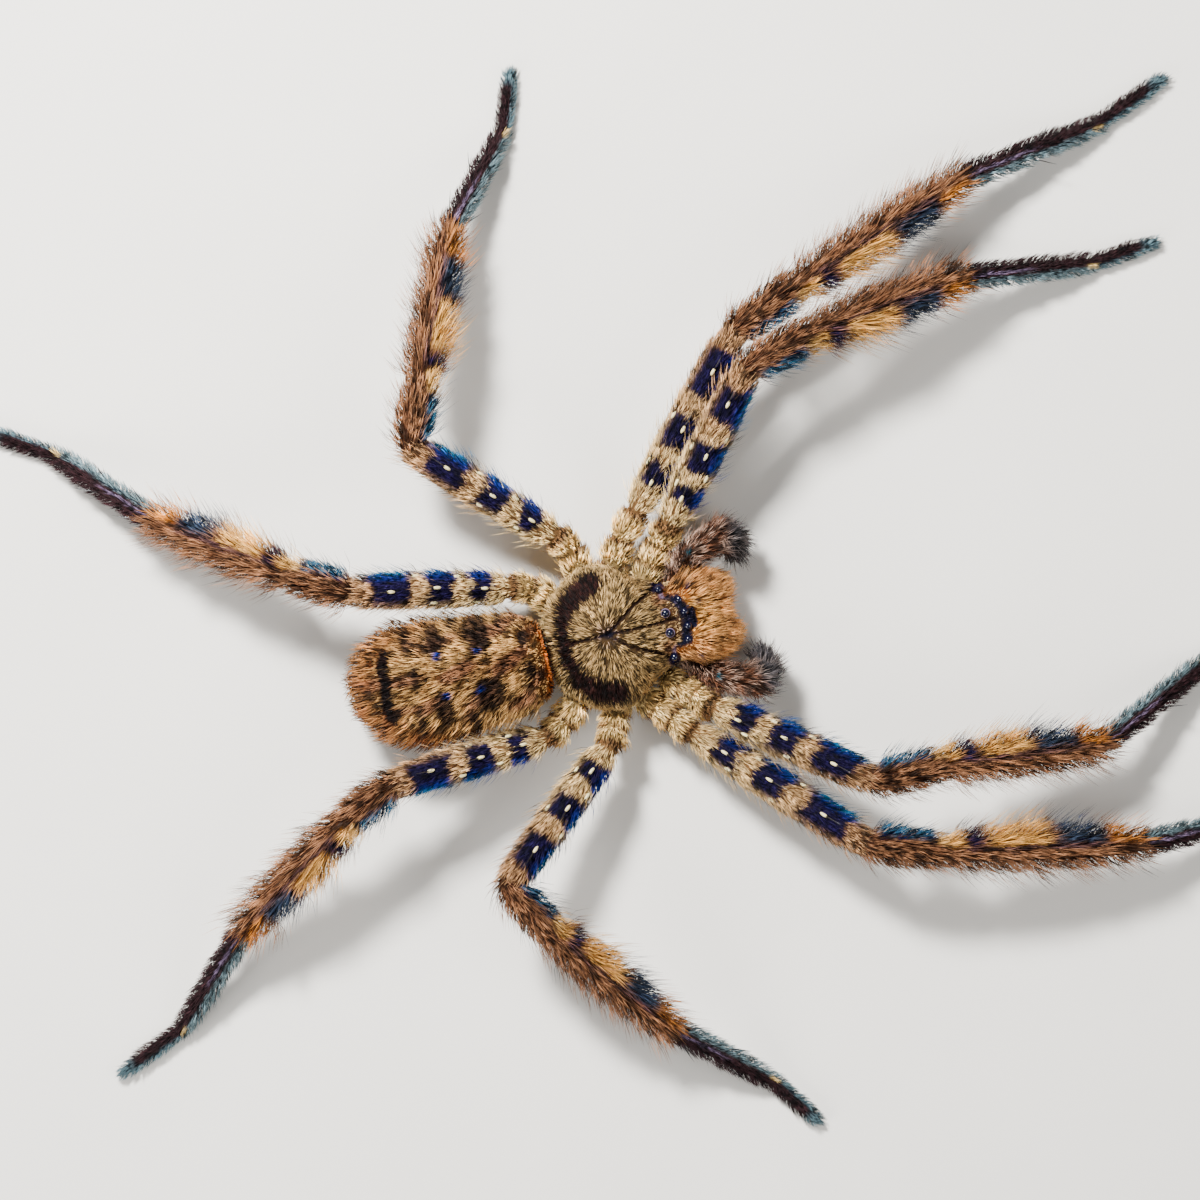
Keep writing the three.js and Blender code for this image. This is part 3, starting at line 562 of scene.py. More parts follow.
carapace_rings = []
for share in BODY_STEPS:
    x = CARAPACE_REAR + (CARAPACE_FRONT - CARAPACE_REAR) * share
    carapace_rings.append(((x, 0, RIM_Z), float(carapace_half_width(share)),
                           float(carapace_top(share)) - RIM_Z))
shield = extrude_rings(carapace_rings, BODY_SIDES, ACROSS_BODY)
bpy.context.view_layer.objects.active = shield
bpy.ops.object.mode_set(mode="EDIT")
bpy.ops.mesh.select_all(action="SELECT")
bpy.ops.mesh.bisect(plane_co=tuple(metres((0, 0, RIM_Z - RIM_DEPTH))), plane_no=(0, 0, 1),
                    use_fill=True, clear_inner=True)
bpy.ops.object.mode_set(mode="OBJECT")

abdomen_rings = []
for share in BODY_STEPS:
    middle = abdomen_middle(share)
    size = float(abdomen_size(share))
    abdomen_rings.append((middle, ABDOMEN_HALF_WIDTH * size, ABDOMEN_HALF_HEIGHT * size))
extrude_rings(abdomen_rings, BODY_SIDES, ACROSS_BODY)

STERNUM = {"middle": (-0.1, -0.1, 2.55), "half": (3.3, 2.7, 0.85)}
bpy.ops.object.select_all(action="DESELECT")
bpy.ops.mesh.primitive_uv_sphere_add(segments=32, ring_count=16, radius=MM, location=metres(STERNUM["middle"]))
bpy.ops.transform.resize(value=STERNUM["half"], center_override=tuple(metres(STERNUM["middle"])))
skin_pieces.append(bpy.context.object)

PEDICEL_ENDS = ((-3.1, -0.1, 3.0), (-7.4, -0.25, 3.4))
extrude_rings([(np.array(PEDICEL_ENDS[0]), 0.6, 0.6), (np.array(PEDICEL_ENDS[1]), 0.6, 0.6)], LEG_SIDES,
              Vector(np.subtract(PEDICEL_ENDS[1], PEDICEL_ENDS[0])).to_track_quat("Z", "Y").to_euler())
CHEST_CORE = {"middle": (0.2, 0, 3.4), "half": (4.6, 4.2, 0.9)}
FACE_CORE = {"middle": (6.3, 0, 4.7), "half": (1.3, 1.1, 1.25)}
JAW_CORE = {"middle": (7.5, 0, 4.1), "half": (1.3, 0.9, 1.5)}
for core in (CHEST_CORE, FACE_CORE, JAW_CORE):
    bpy.ops.object.select_all(action="DESELECT")
    bpy.ops.mesh.primitive_uv_sphere_add(segments=32, ring_count=16, radius=MM, location=metres(core["middle"]))
    bpy.ops.transform.resize(value=core["half"], center_override=tuple(metres(core["middle"])))
    skin_pieces.append(bpy.context.object)
for sign in (1, -1):
    start = np.array((-19.4, 0.1 + 0.6 * sign, 2.9))
    end = np.array((-21.0, 0.1 + 0.85 * sign, 2.4))
    extrude_rings([(start, 0.5, 0.5), (end, 0.28, 0.28)], LEG_SIDES,
                  Vector(end - start).to_track_quat("Z", "Y").to_euler())
print("pieces to weld", len(skin_pieces))

# %% [markdown]
# ## Welding
# All pieces are joined and welded by a voxel remesh, which builds one even surface over whatever
# overlaps. A smoothing pass then softens the corners, and no seam is left at any joint.

# %% Weld the skin
VOXEL = 0.24
bpy.ops.object.select_all(action="DESELECT")
for piece in skin_pieces:
    piece.select_set(True)
bpy.context.view_layer.objects.active = skin_pieces[0]
bpy.ops.object.join()
skin = bpy.context.object
skin.name = "skin"
skin.data.name = "skin"
bpy.ops.object.transform_apply(location=True, rotation=True, scale=True)
remesh = skin.modifiers.new("weld", "REMESH")
remesh.mode = "VOXEL"
remesh.voxel_size = VOXEL * MM
bpy.ops.object.modifier_apply(modifier="weld")
smooth = skin.modifiers.new("soften", "SMOOTH")
smooth.factor = 0.5
smooth.iterations = 3
bpy.ops.object.modifier_apply(modifier="soften")
bpy.ops.object.shade_smooth()
print("skin faces", len(skin.data.polygons))

# %% [markdown]
# ## Finding a place on the animal
# The coat and the markings follow the anatomy: how far along which segment a point lies, and on
# which side of it. Each point belongs to the part whose surface it is nearest to.

# %% Locate points


def axes_of(chain):
    """Give the unit directions along a length, to its left, and up from it."""
    along = (chain["end"] - chain["start"])
    along = along / np.linalg.norm(along)
    left = np.cross((0, 0, 1), along)
    if np.linalg.norm(left) < 0.5:
        left = np.array((0.0, 1.0, 0.0)) - along * along[1]
    left = left / np.linalg.norm(left)
    return along, left, np.cross(along, left)


for chain in chains:
    chain["axes"] = axes_of(chain)

BODY_PARTS = ("carapace", "abdomen", "sternum")
KINDS = [chain["kind"] for chain in chains] + list(BODY_PARTS)
PARTS = [chain["part"] for chain in chains] + list(BODY_PARTS)


def carapace_share(x):
    """Give the share of the carapace's length from its rear."""
    return (x - CARAPACE_REAR) / (CARAPACE_FRONT - CARAPACE_REAR)


def abdomen_share(x):
    """Give the share of the abdomen's length from its front."""
    return (x - ABDOMEN_FRONT) / (ABDOMEN_REAR - ABDOMEN_FRONT)


def locate(points):
    """Find each point's part, its way along it and its angle round it, fore side positive."""
    count = len(points)
    nearest = np.full(count, 9e9)
    owner = np.zeros(count, dtype=int)
    step = np.zeros(count)
    angle = np.zeros(count)
    along = np.zeros((count, 3))
    for index, chain in enumerate(chains):
        direction, left, up = chain["axes"]
        span = np.linalg.norm(chain["end"] - chain["start"])
        offset = points - chain["start"]
        raw = offset @ direction / span
        here = np.clip(raw, 0, 1)
        radial = offset - np.outer(here * span, direction)
        distance = np.linalg.norm(radial, axis=1) / chain["radius"](here)
        closer = distance < nearest
        nearest[closer] = distance[closer]
        owner[closer] = index
        step[closer] = here[closer]
        angle[closer] = np.degrees(np.arctan2(radial @ left * chain["fore"], radial @ up))[closer]
        along[closer] = direction
    x, y, z = points.T
    share = carapace_share(x)
    inside = (share > -0.03) & (share < 1.03)
    half = np.maximum(carapace_half_width(np.clip(share, 0.02, 0.99)), 0.5)
    height = np.maximum(carapace_top(np.clip(share, 0, 1)) - RIM_Z, 0.5)
    over = np.where(inside & (z > RIM_Z - 0.35), np.hypot(y / half, (z - RIM_Z) / height), 9e9)
    rear = abdomen_share(x)
    middle = abdomen_middle(np.clip(rear, 0, 1))
    size = np.maximum(abdomen_size(rear), 0.25)
    round_abdomen = np.hypot((y - middle[:, 1]) / (ABDOMEN_HALF_WIDTH * size),
                             (z - middle[:, 2]) / (ABDOMEN_HALF_HEIGHT * size))
    behind = np.where((rear > -0.06), round_abdomen + np.maximum(0, rear - 1) * 8, 9e9)
    under = np.where(inside & (z <= RIM_Z - 0.2), 1.02, 9e9)
    for index, distance in ((len(chains), over), (len(chains) + 1, behind), (len(chains) + 2, under)):
        closer = distance < nearest
        nearest[closer] = distance[closer]
        owner[closer] = index
    return owner, step, angle, along


print("parts", sorted(set(KINDS)))

# %% [markdown]
# ## Markings
# Lines on the shield and spots on the abdomen are given by a few points each. A mark is dark
# where the distance to its line is small, and every draw makes its edge a little ragged.

# %% Mark places
FOVEA = (-0.68, 0.2)
CRESCENT = ((-1.1, 4.4), (-1.9, 4.0), (-3.0, 3.2), (-3.9, 1.7), (-4.1, 0.2), (-4.05, -1.0), (-3.5, -2.7),
            (-2.2, -4.0), (-0.9, -4.35))
GROOVES = (
    (FOVEA, (0.6, 1.05), (1.6, 1.8), (3.9, 3.1)),
    (FOVEA, (2.0, 0.12), (4.9, 0.18)),
    (FOVEA, (0.8, -1.1), (2.0, -1.65), (3.5, -2.5)),
    ((-3.6, 0.15), FOVEA),
)
REAR_BAR = ((-18.2, 2.5), (-18.6, 1.6), (-18.5, 0.6), (-18.7, -0.4), (-18.8, -1.3), (-18.6, -2.2))
ABDOMEN_SPOTS = (
    ((-14.2, 2.8), (0.75, 1.3)), ((-14.5, -2.4), (0.75, 1.3)), ((-10.8, 2.6), (1.15, 1.4)),
    ((-10.8, -2.1), (1.35, 1.2)), ((-7.3, 1.5), (0.5, 0.7)), ((-7.3, -1.1), (0.5, 0.7)),
    ((-8.9, 3.4), (0.5, 0.8)), ((-12.6, 3.9), (0.5, 0.6)), ((-12.4, -3.7), (0.5, 0.7)),
    ((-16.4, 3.2), (0.5, 0.9)), ((-16.5, -2.9), (0.45, 0.8)), ((-16.2, 0.2), (0.4, 1.2)),
)
BLUE_DOTS = ((-14.15, 1.6), (-14.05, -1.5), (-11.0, 1.25), (-11.4, -1.6))
WAIST_LINE = ((-6.35, 3.3), (-6.0, 2.0), (-5.9, -0.3), (-6.0, -2.2), (-6.45, -3.6))


def line_distance(x, y, line):
    """Give the distance in plan from each point to a line of points."""
    best = np.full(len(x), 9e9)
    for (ax, ay), (bx, by) in zip(line[:-1], line[1:]):
        dx, dy = bx - ax, by - ay
        share = np.clip(((x - ax) * dx + (y - ay) * dy) / (dx * dx + dy * dy), 0, 1)
        best = np.minimum(best, np.hypot(x - ax - share * dx, y - ay - share * dy))
    return best


def groove_distance(x, y):
    """Give the distance to the nearest groove of the shield."""
    return np.min([line_distance(x, y, line) for line in GROOVES], axis=0)


def spot_weight(x, y, spot):
    """Rise from 0 at a spot's edge to 1 at its middle."""
    (sx, sy), (length, width) = spot
    return 1 - ramp(np.hypot((x - sx) / length, (y - sy) / width), 0.85, 1.25)


def ripple(points, size, seed):
    """Give a smooth random value from about -1 to 1 that changes over the given size."""
    turns = np.random.default_rng(seed)
    total = np.zeros(len(points))
    for _ in range(5):
        direction = turns.normal(size=3)
        direction = direction / np.linalg.norm(direction)
        total += np.sin(points @ direction * 2 * np.pi / (size * turns.uniform(0.7, 1.5)) + turns.uniform(0, 6.3))
    return total / 2.4


# %% [markdown]
# Each part has its own painter, which gives the colour at a hair's root and at its tip. The skin
# under the coat uses the root colour of the same painter, so both carry the same markings.

# %% Painters of the body


def paint_carapace(points, jitter):
    """Colour the shield: a dark crescent, dark grooves, and a blue-black face."""
    x, y, z = points.T
    head = ramp(x, 2.5, 4.8)
    root = blend(INK["shield"], INK["brown"], 0.45 * head)
    tip = blend(INK["shield_tip"], INK["tan_tip"], 0.5 * head)
    rim = ramp(np.hypot((x + 0.4) / 5.4, y / 5.7), 0.88, 1.0)
    tip = blend(tip, INK["pale"], 0.4 * rim)
    width = 0.62 + 0.36 * ramp(np.abs(y), 1.6, 3.6)
    dark = 1 - ramp(line_distance(x, y, CRESCENT) + 0.3 * jitter, width - 0.1, width + 0.1)
    groove = 1 - ramp(groove_distance(x, y) + 0.04 * jitter, 0.08, 0.2)
    fovea = 1 - ramp(np.hypot((x - FOVEA[0]) * 0.8, (y - FOVEA[1]) * 1.6), 0.25, 0.6)
    ragged = 0.12 * jitter + 0.1 * ripple(points, 0.7, 91)
    face = ramp(x + 0.17 * y * y + ragged, 5.1, 5.4) * (1 - ramp(np.abs(y) + ragged, 2.0, 2.5))
    corner = np.max([1 - ramp(np.hypot((x - 3.95) * 0.8, y - side * 3.0), 0.35, 0.5) for side in (1, -1)], axis=0)
    knob = np.max([1 - ramp(np.hypot(x - 4.5, y - side * 2.25), 0.32, 0.6) for side in (1, -1)], axis=0)
    warm = np.max([1 - ramp(np.hypot(x - 3.9, y - side * 1.9), 0.3, 0.8) for side in (1, -1)], axis=0)
    root = blend(root, INK["rust"], 0.7 * warm)
    tip = blend(tip, INK["brown_tip"], 0.6 * warm)
    root = blend(root, INK["violet"] * 2.2, 0.8 * knob)
    tip = blend(tip, INK["violet"] * 1.5, 0.7 * knob)
    marks = np.maximum(dark, groove)
    root = blend(root, INK["crescent"], marks)
    tip = blend(tip, INK["crescent"] * 1.1, marks)
    blue = np.maximum(face, fovea)
    bloom = ramp(ripple(points, 0.5, 92), 0.1, 0.9)
    root = blend(root, INK["night"] * 1.5, blue)
    tip = blend(tip, blend(INK["night"] * 1.3, INK["violet"] * 0.7, bloom), blue)
    near = (1 - ramp(np.hypot(x - FOVEA[0], y - FOVEA[1]), 0.5, 1.3)) * (1 - fovea)
    tip = blend(tip, INK["blue"] * 1.6, 0.3 * near)
    return blend(root, INK["indigo"] * 1.5, corner), blend(tip, INK["indigo"] * 1.2, corner)


def paint_abdomen(points, jitter):
    """Colour the abdomen: tan with dark spots, a black rear bar, and a rusty rim."""
    x, y, z = points.T
    edge = ramp(np.hypot((x + 13.4) / 7.6, y / 4.6), 0.7, 0.98) * ramp(-x, 11.0, 16.5)
    patchy = ripple(points, 2.0, 3)
    root = blend(blend(INK["belly"], INK["brown"], ramp(patchy, -0.1, 0.9)), INK["rust"], 0.8 * edge)
    tip = blend(blend(INK["belly_tip"], INK["brown_tip"], ramp(patchy, -0.1, 0.9)), INK["rust_tip"], 0.7 * edge)
    stripe = (1 - ramp(np.abs(y + 0.1), 0.4, 1.1)) * ramp(-x, 6.5, 8.5) * (1 - ramp(-x, 12.0, 13.2))
    root = blend(root, INK["belly_dark"], 0.5 * stripe)
    tip = blend(tip, INK["brown"], 0.6 * stripe)
    fleck = ripple(points * np.array((1.0, 1.0, 0.3)), 1.1, 5) + 0.25 * jitter
    dark = 0.6 * ramp(fleck, 0.5, 0.9)
    ragged = 0.16 * np.stack([jitter, -jitter], axis=0)
    spots = np.max([spot_weight(x + ragged[0], y + ragged[1], spot) for spot in ABDOMEN_SPOTS], axis=0)
    bar = 1 - ramp(line_distance(x, y, REAR_BAR) + 0.06 * jitter, 0.42, 0.62)
    top = ramp(z, 4.5, 5.8)
    dark = np.maximum(dark * (1 - 0.4 * edge), spots * top)
    root = blend(root, INK["belly_dark"], dark)
    tip = blend(tip, INK["belly_dark"] * 1.6, 0.95 * dark)
    root = blend(root, INK["crescent"] * 0.3, bar * top)
    tip = blend(tip, INK["crescent"] * 0.4, bar * top)
    dots = np.max([1 - ramp(np.hypot(x - dx, y - dy), 0.2, 0.34) for dx, dy in BLUE_DOTS], axis=0) * top
    root = blend(root, INK["blue"], dots)
    tip = blend(tip, INK["blue"] * 1.5, dots)
    waist = (1 - ramp(line_distance(x, y, WAIST_LINE), 0.1, 0.28)) * ramp(z, 5.3, 5.7)
    root = blend(root, INK["orange"], waist)
    tip = blend(tip, INK["orange"] * 1.7, waist)
    # The lower front of the abdomen, where it meets the carapace, is darkened: painted shade in the gap between the
    # two parts.
    cap = ramp(x, -6.5, -6.1) * (1 - ramp(z, 4.9, 5.3))
    root, tip = blend(root, INK["crescent"], cap), blend(tip, INK["brown"], cap)
    below = 1 - ramp(z, 2.2, 4.0)
    return blend(root, INK["under"] * 0.6, below), blend(tip, INK["under"] * 0.8, below)


def paint_sternum(points, jitter):
    """Colour the underside of the chest a dull brown."""
    count = len(points)
    return np.tile(INK["under"] * 0.5, (count, 1)), np.tile(INK["under"], (count, 1))


JAW_GLINTS = ((6.5, 2.4), (6.97, 1.2), (6.3, -2.9))


def paint_jaw(points, jitter):
    """Colour the jaws orange and golden in the middle, with painted shade in the corner beside the face, and darker
    towards the bottom.
    """
    x, y, z = points.T
    gold = (1 - ramp(np.abs(y), 0.8, 2.2)) * (1 - ramp(x, 7.4, 9.0))
    light = ramp(ripple(points, 1.4, 8) + 0.3 * jitter, -0.4, 0.8)
    root = blend(np.tile(INK["jaw"] * 0.7, (len(points), 1)), INK["jaw"], light)
    tip = blend(np.tile(INK["jaw_tip"] * 0.85, (len(points), 1)), INK["jaw_tip"] * 1.15, light)
    root = blend(root, INK["gold"] * 0.8, 0.6 * gold)
    tip = blend(tip, INK["gold_tip"], 0.6 * gold)
    # Painted shade darkens the corner beside the face, and the jaw grows darker towards the bottom.
    corner = (1 - ramp(x, 6.3, 7.0)) * ramp(np.abs(y), 2.2, 2.9)
    low = 1 - ramp(z, 1.2, 3.4)
    dark = np.maximum(0.7 * corner, 0.6 * low)
    root, tip = blend(root, INK["crescent"], dark), blend(tip, INK["brown"], 0.8 * dark)
    glint = 0.8 * np.max([1 - ramp(np.hypot(x - gx, y - gy), 0.1, 0.26) for gx, gy in JAW_GLINTS], axis=0)
    root, tip = blend(root, INK["blue"] * 0.6, glint), blend(tip, INK["bluegrey"], glint)
    ragged = 0.12 * jitter + 0.1 * ripple(points, 0.7, 91)
    face = (1 - ramp(x + 0.12 * y * y + ragged, 6.0, 6.25)) * (1 - ramp(np.abs(y) + ragged, 1.9, 2.3)) * ramp(z, 3.5, 4.5)
    return blend(root, INK["night"] * 1.5, face), blend(tip, INK["night"], face)


# %% [markdown]
# The legs carry bands. A femur is cream with three indigo bands that turn bright blue on the fore
# side. A tibia is brown with cream and blue-grey patches on its fore side.

# %% Painters of the legs


def fore_weight(angle, low=25, high=55):
    """Rise to 1 on the fore side of a leg."""
    return ramp(angle, low, high) * (1 - ramp(angle, 135, 160))


def window(step, low, high, soft=0.025):
    """Rise to 1 between two places along a segment."""
    return ramp(step, low - soft, low + soft) * (1 - ramp(step, high - soft, high + soft))


def paint_coxa(points, step, angle, jitter):
    """Colour the coxae cream, dark where they meet."""
    count = len(points)
    joint = 0.9 * (1 - window(step, 0.08, 0.9, 0.06))
    light = ramp(ripple(points, 1.3, 11), -0.5, 0.7)
    tip = blend(np.tile(INK["cream"] * 1.15, (count, 1)), INK["pale"] * 1.35, light)
    return blend(np.tile(INK["cream"] * 0.8, (count, 1)), INK["crescent"], joint), blend(tip, INK["brown"], joint)


FEMUR_BANDS = ((0.21, 0.065), (0.46, 0.09), (0.775, 0.125))


def paint_femur(points, step, angle, jitter):
    """Colour a femur: cream to tan with three indigo bands, blue on the fore side."""
    onward = ramp(step, 0.1, 0.95)
    base_root = blend(INK["tan"] * 0.9, INK["brown"], 0.6 * onward)
    base_tip = blend(INK["pale"] * 1.1, INK["tan_tip"], onward)
    fore = fore_weight(angle, 28, 58)
    deep = fore_weight(angle, 52, 82)
    hind = ramp(-angle, 35, 80)
    ragged = step + 0.014 * jitter + 0.02 * ripple(points, 1.6, 21)
    band = np.max([1 - ramp(np.abs(ragged - middle - 0.01 * fore), half * 0.85, half * (1.05 + 0.3 * fore))
                   for middle, half in FEMUR_BANDS], axis=0)
    band = band * (1 - 0.85 * hind) * (1 - 0.7 * ramp(np.abs(angle), 120, 150))
    ink = blend(blend(INK["indigo"] * 0.8, INK["blue"], 0.75 * fore), INK["teal"], 0.75 * deep * onward)
    side = 0.6 * deep * ramp(step, 0.1, 0.4)
    root = blend(blend(base_root, INK["bluegrey"] * 0.6, side), ink, band)
    tip = blend(blend(base_tip, INK["grey"], side), ink * 1.1, band)
    end = ramp(step, 0.93, 0.98)
    return blend(root, INK["brown"], 0.7 * end), blend(tip, INK["tan_tip"] * 0.8, 0.7 * end)


def paint_patella(points, step, angle, jitter):
    """Colour a patella: brown with a blue stripe on the fore side."""
    count = len(points)
    fore = fore_weight(angle + 6 * jitter, 28, 50) * window(step, 0.15, 0.9, 0.08)
    dark = 0.6 * ramp(ripple(points, 1.5, 31) + 0.3 * jitter, 0.1, 0.8)
    root = blend(np.tile(INK["brown"] * 0.7, (count, 1)), INK["crescent"], dark)
    tip = blend(np.tile(INK["brown_tip"] * 0.85, (count, 1)), INK["brown"] * 0.8, dark)
    root, tip = blend(root, INK["blue"] * 0.8, fore), blend(tip, INK["teal"] * 0.9, 0.9 * fore)
    end = fore_weight(angle, 15, 40) * ramp(step, 0.88, 0.96)
    return blend(root, INK["tan"], end), blend(tip, INK["gold_tip"], end)


TIBIA_PATCHES = (
    (0.0, 0.1, "gold", "gold_tip"), (0.12, 0.2, "indigo", "indigo"), (0.235, 0.53, "gold", "gold_tip"),
    (0.57, 0.83, "indigo", "bluegrey"), (0.86, 1.0, "orange", "gold"),
)


def paint_tibia(points, step, angle, jitter):
    """Colour a tibia: brown, with cream, dark blue and blue-grey patches on the fore side."""
    count = len(points)
    fore = fore_weight(angle + 7 * jitter, 3, 24)
    t = step + 0.012 * jitter
    dark = 0.55 * ramp(ripple(points, 1.5, 41) + 0.3 * jitter, 0.1, 0.9)
    root = blend(np.tile(INK["brown"], (count, 1)), INK["crescent"], dark)
    tip = blend(np.tile(INK["brown_tip"], (count, 1)), INK["brown"], dark)
    line = (1 - ramp(np.abs(angle - 4), 5, 14)) * window(t, 0.1, 0.85, 0.05)
    root = blend(root, INK["crescent"], 0.8 * line)
    tip = blend(tip, INK["indigo"] * 1.5, 0.6 * line)
    for low, high, deep, light in TIBIA_PATCHES:
        weight = fore * window(t, low, high)
        root = blend(root, INK[deep], weight)
        tip = blend(tip, INK[light], weight)
    return root, tip


def paint_metatarsus(points, step, angle, jitter):
    """Colour a metatarsus: dark maroon with a fine pale line, grey-teal on the fore side."""
    count = len(points)
    fore = fore_weight(angle + 8 * jitter, 18, 40)
    line = (1 - ramp(np.abs(angle + 4), 5, 14)) * window(step, 0.06, 0.5, 0.1)
    spot = ramp(step, 0.93, 0.96) * (1 - ramp(np.abs(angle - 30), 16, 26))
    root = blend(np.tile(INK["maroon"] * 0.7, (count, 1)), INK["bluegrey"], 0.9 * fore)
    tip = blend(np.tile(INK["maroon"] * 1.6, (count, 1)), blend(INK["fringe"], INK["teal"], 0.2), 0.9 * fore)
    root, tip = blend(root, INK["violet"], 0.5 * line), blend(tip, INK["violet"] * 1.2, 0.6 * line)
    return blend(root, INK["cream"], spot), blend(tip, INK["pale"], spot)


def paint_tarsus(points, step, angle, jitter):
    """Colour a tarsus: dark above, with grey-teal hair on its fore side and end."""
    count = len(points)
    fringe = np.maximum(fore_weight(angle + 8 * jitter, 25, 50), ramp(step, 0.75, 0.95))
    root = blend(np.tile(INK["maroon"] * 0.6, (count, 1)), INK["bluegrey"] * 0.8, fringe)
    tip = blend(np.tile(INK["maroon"] * 1.4, (count, 1)), blend(INK["fringe"], INK["teal"], 0.4), 0.85 * fringe)
    return root, tip


def paint_palp(points, step, angle, jitter):
    """Colour a palp: brown, with dark blue-grey hair at its end and a painted teal glint on top of its knee."""
    count = len(points)
    end = ramp(points[:, 0] - 0.25 * np.abs(points[:, 1]), 8.5, 9.6)
    pale = ramp(ripple(points, 1.2, 51) + 0.5 * jitter, -0.3, 0.8)
    tip = blend(np.tile(INK["palp"], (count, 1)), INK["palp_tip"], pale)
    root = blend(np.tile(INK["palp"] * 0.6, (count, 1)), INK["palp_dark"] * 0.4, end)
    tip = blend(tip, INK["palp_dark"] * 1.8, 0.7 * end)
    # A small teal spot on top of each palp's knee is a painted glint.
    knee_glint = 1 - ramp(np.hypot(points[:, 0] - 7.2, np.abs(points[:, 1]) - 5.1), 0.1, 0.32)
    knee_glint = knee_glint * ramp(points[:, 2], 4.4, 4.9)
    return blend(root, INK["teal"], knee_glint), blend(tip, INK["teal"], 0.8 * knee_glint)


BODY_PAINTERS = {"carapace": paint_carapace, "abdomen": paint_abdomen, "sternum": paint_sternum,
                 "jaw": paint_jaw}
LEG_PAINTERS = {"coxa": paint_coxa, "femur": paint_femur, "patella": paint_patella, "tibia": paint_tibia,
                "metatarsus": paint_metatarsus, "tarsus": paint_tarsus, "palp": paint_palp}
KIND_OF = np.array(KINDS)


def paint(points, owner, step, angle):
    """Give the root and tip colours of every point."""
    kinds = KIND_OF[owner]
    jitter = rng.uniform(-1, 1, len(points))
    root = np.zeros((len(points), 3))
    tip = np.zeros((len(points), 3))
    for kind in sorted(set(kinds)):
        here = kinds == kind
        if kind in BODY_PAINTERS:
            root[here], tip[here] = BODY_PAINTERS[kind](points[here], jitter[here])
        else:
            root[here], tip[here] = LEG_PAINTERS[kind](points[here], step[here], angle[here], jitter[here])
    return root, tip


print("painters", len(BODY_PAINTERS) + len(LEG_PAINTERS))

# %% [markdown]
# ## Folds and paint of the skin
# The welded skin gets the grooves of the shield as real dents. Each point moves down by a depth
# that fades with the distance to the groove. Then the root colours are stored on its points, darkened: partly the
# skin's own dark colour, partly painted shade under the coat.

# %% Finish the skin
GROOVE_DEPTH = 0.28
count = len(skin.data.vertices)
flat = np.empty(count * 3)
skin.data.vertices.foreach_get("co", flat)
skin_points = flat.reshape(-1, 3) / MM - SHIFT
owner, step, angle, _ = locate(skin_points)
on_shield = (KIND_OF[owner] == "carapace") & (skin_points[:, 2] > RIM_Z + 0.6)
depth = GROOVE_DEPTH * np.exp(-(groove_distance(skin_points[:, 0], skin_points[:, 1]) / 0.2) ** 2)
fovea_depth = 0.3 * np.exp(-(np.hypot(skin_points[:, 0] - FOVEA[0], skin_points[:, 1] - FOVEA[1]) / 0.5) ** 2)
skin_points[:, 2] -= np.where(on_shield, depth + fovea_depth, 0)
skin_points[:, 2] = np.maximum(skin_points[:, 2], 0.0)
skin.data.vertices.foreach_set("co", ((skin_points + SHIFT) * MM).ravel())
skin_root, _ = paint(skin_points, owner, step, angle)
# The skin is darkened to 0.28 of its root colour: partly its own dark colour, partly painted shade under the coat.
SKIN_SHADE = 0.28
layer = skin.data.color_attributes.new("markings", "FLOAT_COLOR", "POINT")
layer.data.foreach_set("color", np.column_stack([skin_root * SKIN_SHADE, np.ones(count)]).ravel())
skin.data.materials.append(skin_finish)
skin.data.update()
print("skin points", count)

# %% [markdown]
# ## The coat
# Every hair is a thin three-sided pyramid with one bend, made as solid mesh. Its root is drawn at
# random on the skin, denser on top than below, and its direction, length and lift come from the
# part it grows on. Arrays build thousands at once, because no one could place them by hand.

# %% Hair habits
# Short hair of each part: hairs to the square millimetre, length, lift in degrees, thickness.
HABITS = {
    "carapace": (74, 0.72, 15, 0.068),
    "abdomen": (46, 0.95, 24, 0.075),
    "sternum": (12, 0.6, 30, 0.08),
    "jaw": (56, 1.15, 30, 0.068),
    "coxa": (50, 0.9, 36, 0.08),
    "femur": (54, 0.75, 18, 0.068),
    "patella": (48, 1.0, 26, 0.07),
    "tibia": (50, 1.15, 27, 0.07),
    "metatarsus": (84, 0.75, 22, 0.066),
    "tarsus": (84, 0.6, 26, 0.062),
    "palp": (50, 0.95, 34, 0.066),
}
# Long hair that stands out of the coat: its share of all hairs, length, lift, thickness.
GUARD_HAIR = {
    "carapace": (0.02, 1.0, 38, 0.055),
    "abdomen": (0.16, 1.6, 44, 0.075),
    "sternum": (0.1, 1.0, 45, 0.06),
    "jaw": (0.12, 1.5, 40, 0.06),
    "coxa": (0.1, 1.4, 48, 0.055),
    "femur": (0.1, 1.5, 36, 0.05),
    "patella": (0.16, 1.8, 44, 0.056),
    "tibia": (0.26, 2.0, 46, 0.058),
    "metatarsus": (0.1, 0.85, 36, 0.045),
    "tarsus": (0.08, 0.6, 42, 0.045),
    "palp": (0.24, 1.6, 52, 0.055),
}
# How much the hair gathers in strands, and the share of dark strands.
GATHERING = {
    "carapace": (0.45, 0.46), "abdomen": (0.25, 0.36), "sternum": (0.4, 0.3), "jaw": (0.6, 0.24),
    "coxa": (0.6, 0.08), "femur": (0.5, 0.26), "patella": (0.55, 0.38), "tibia": (0.55, 0.36),
    "metatarsus": (0.35, 0.14), "tarsus": (0.35, 0.14), "palp": (0.55, 0.4),
}
BELOW_SHARE = 0.4
EYES = {"eye_front_middle": (5.72, 0.58), "eye_front_side": (5.5, 1.62),
        "eye_rear_middle": (4.2, 0.8), "eye_rear_side": (4.1, 2.75)}


def habit(owners, column, table):
    """Read one column of a table of habits for every hair."""
    return np.array([table[kind][column] for kind in KINDS], dtype=float)[owners]


def eye_distance(x, y):
    """Give the distance in plan to the nearest eye's middle."""
    return np.min([np.hypot(x - ex, np.abs(y) - ey) for ex, ey in EYES.values()], axis=0)


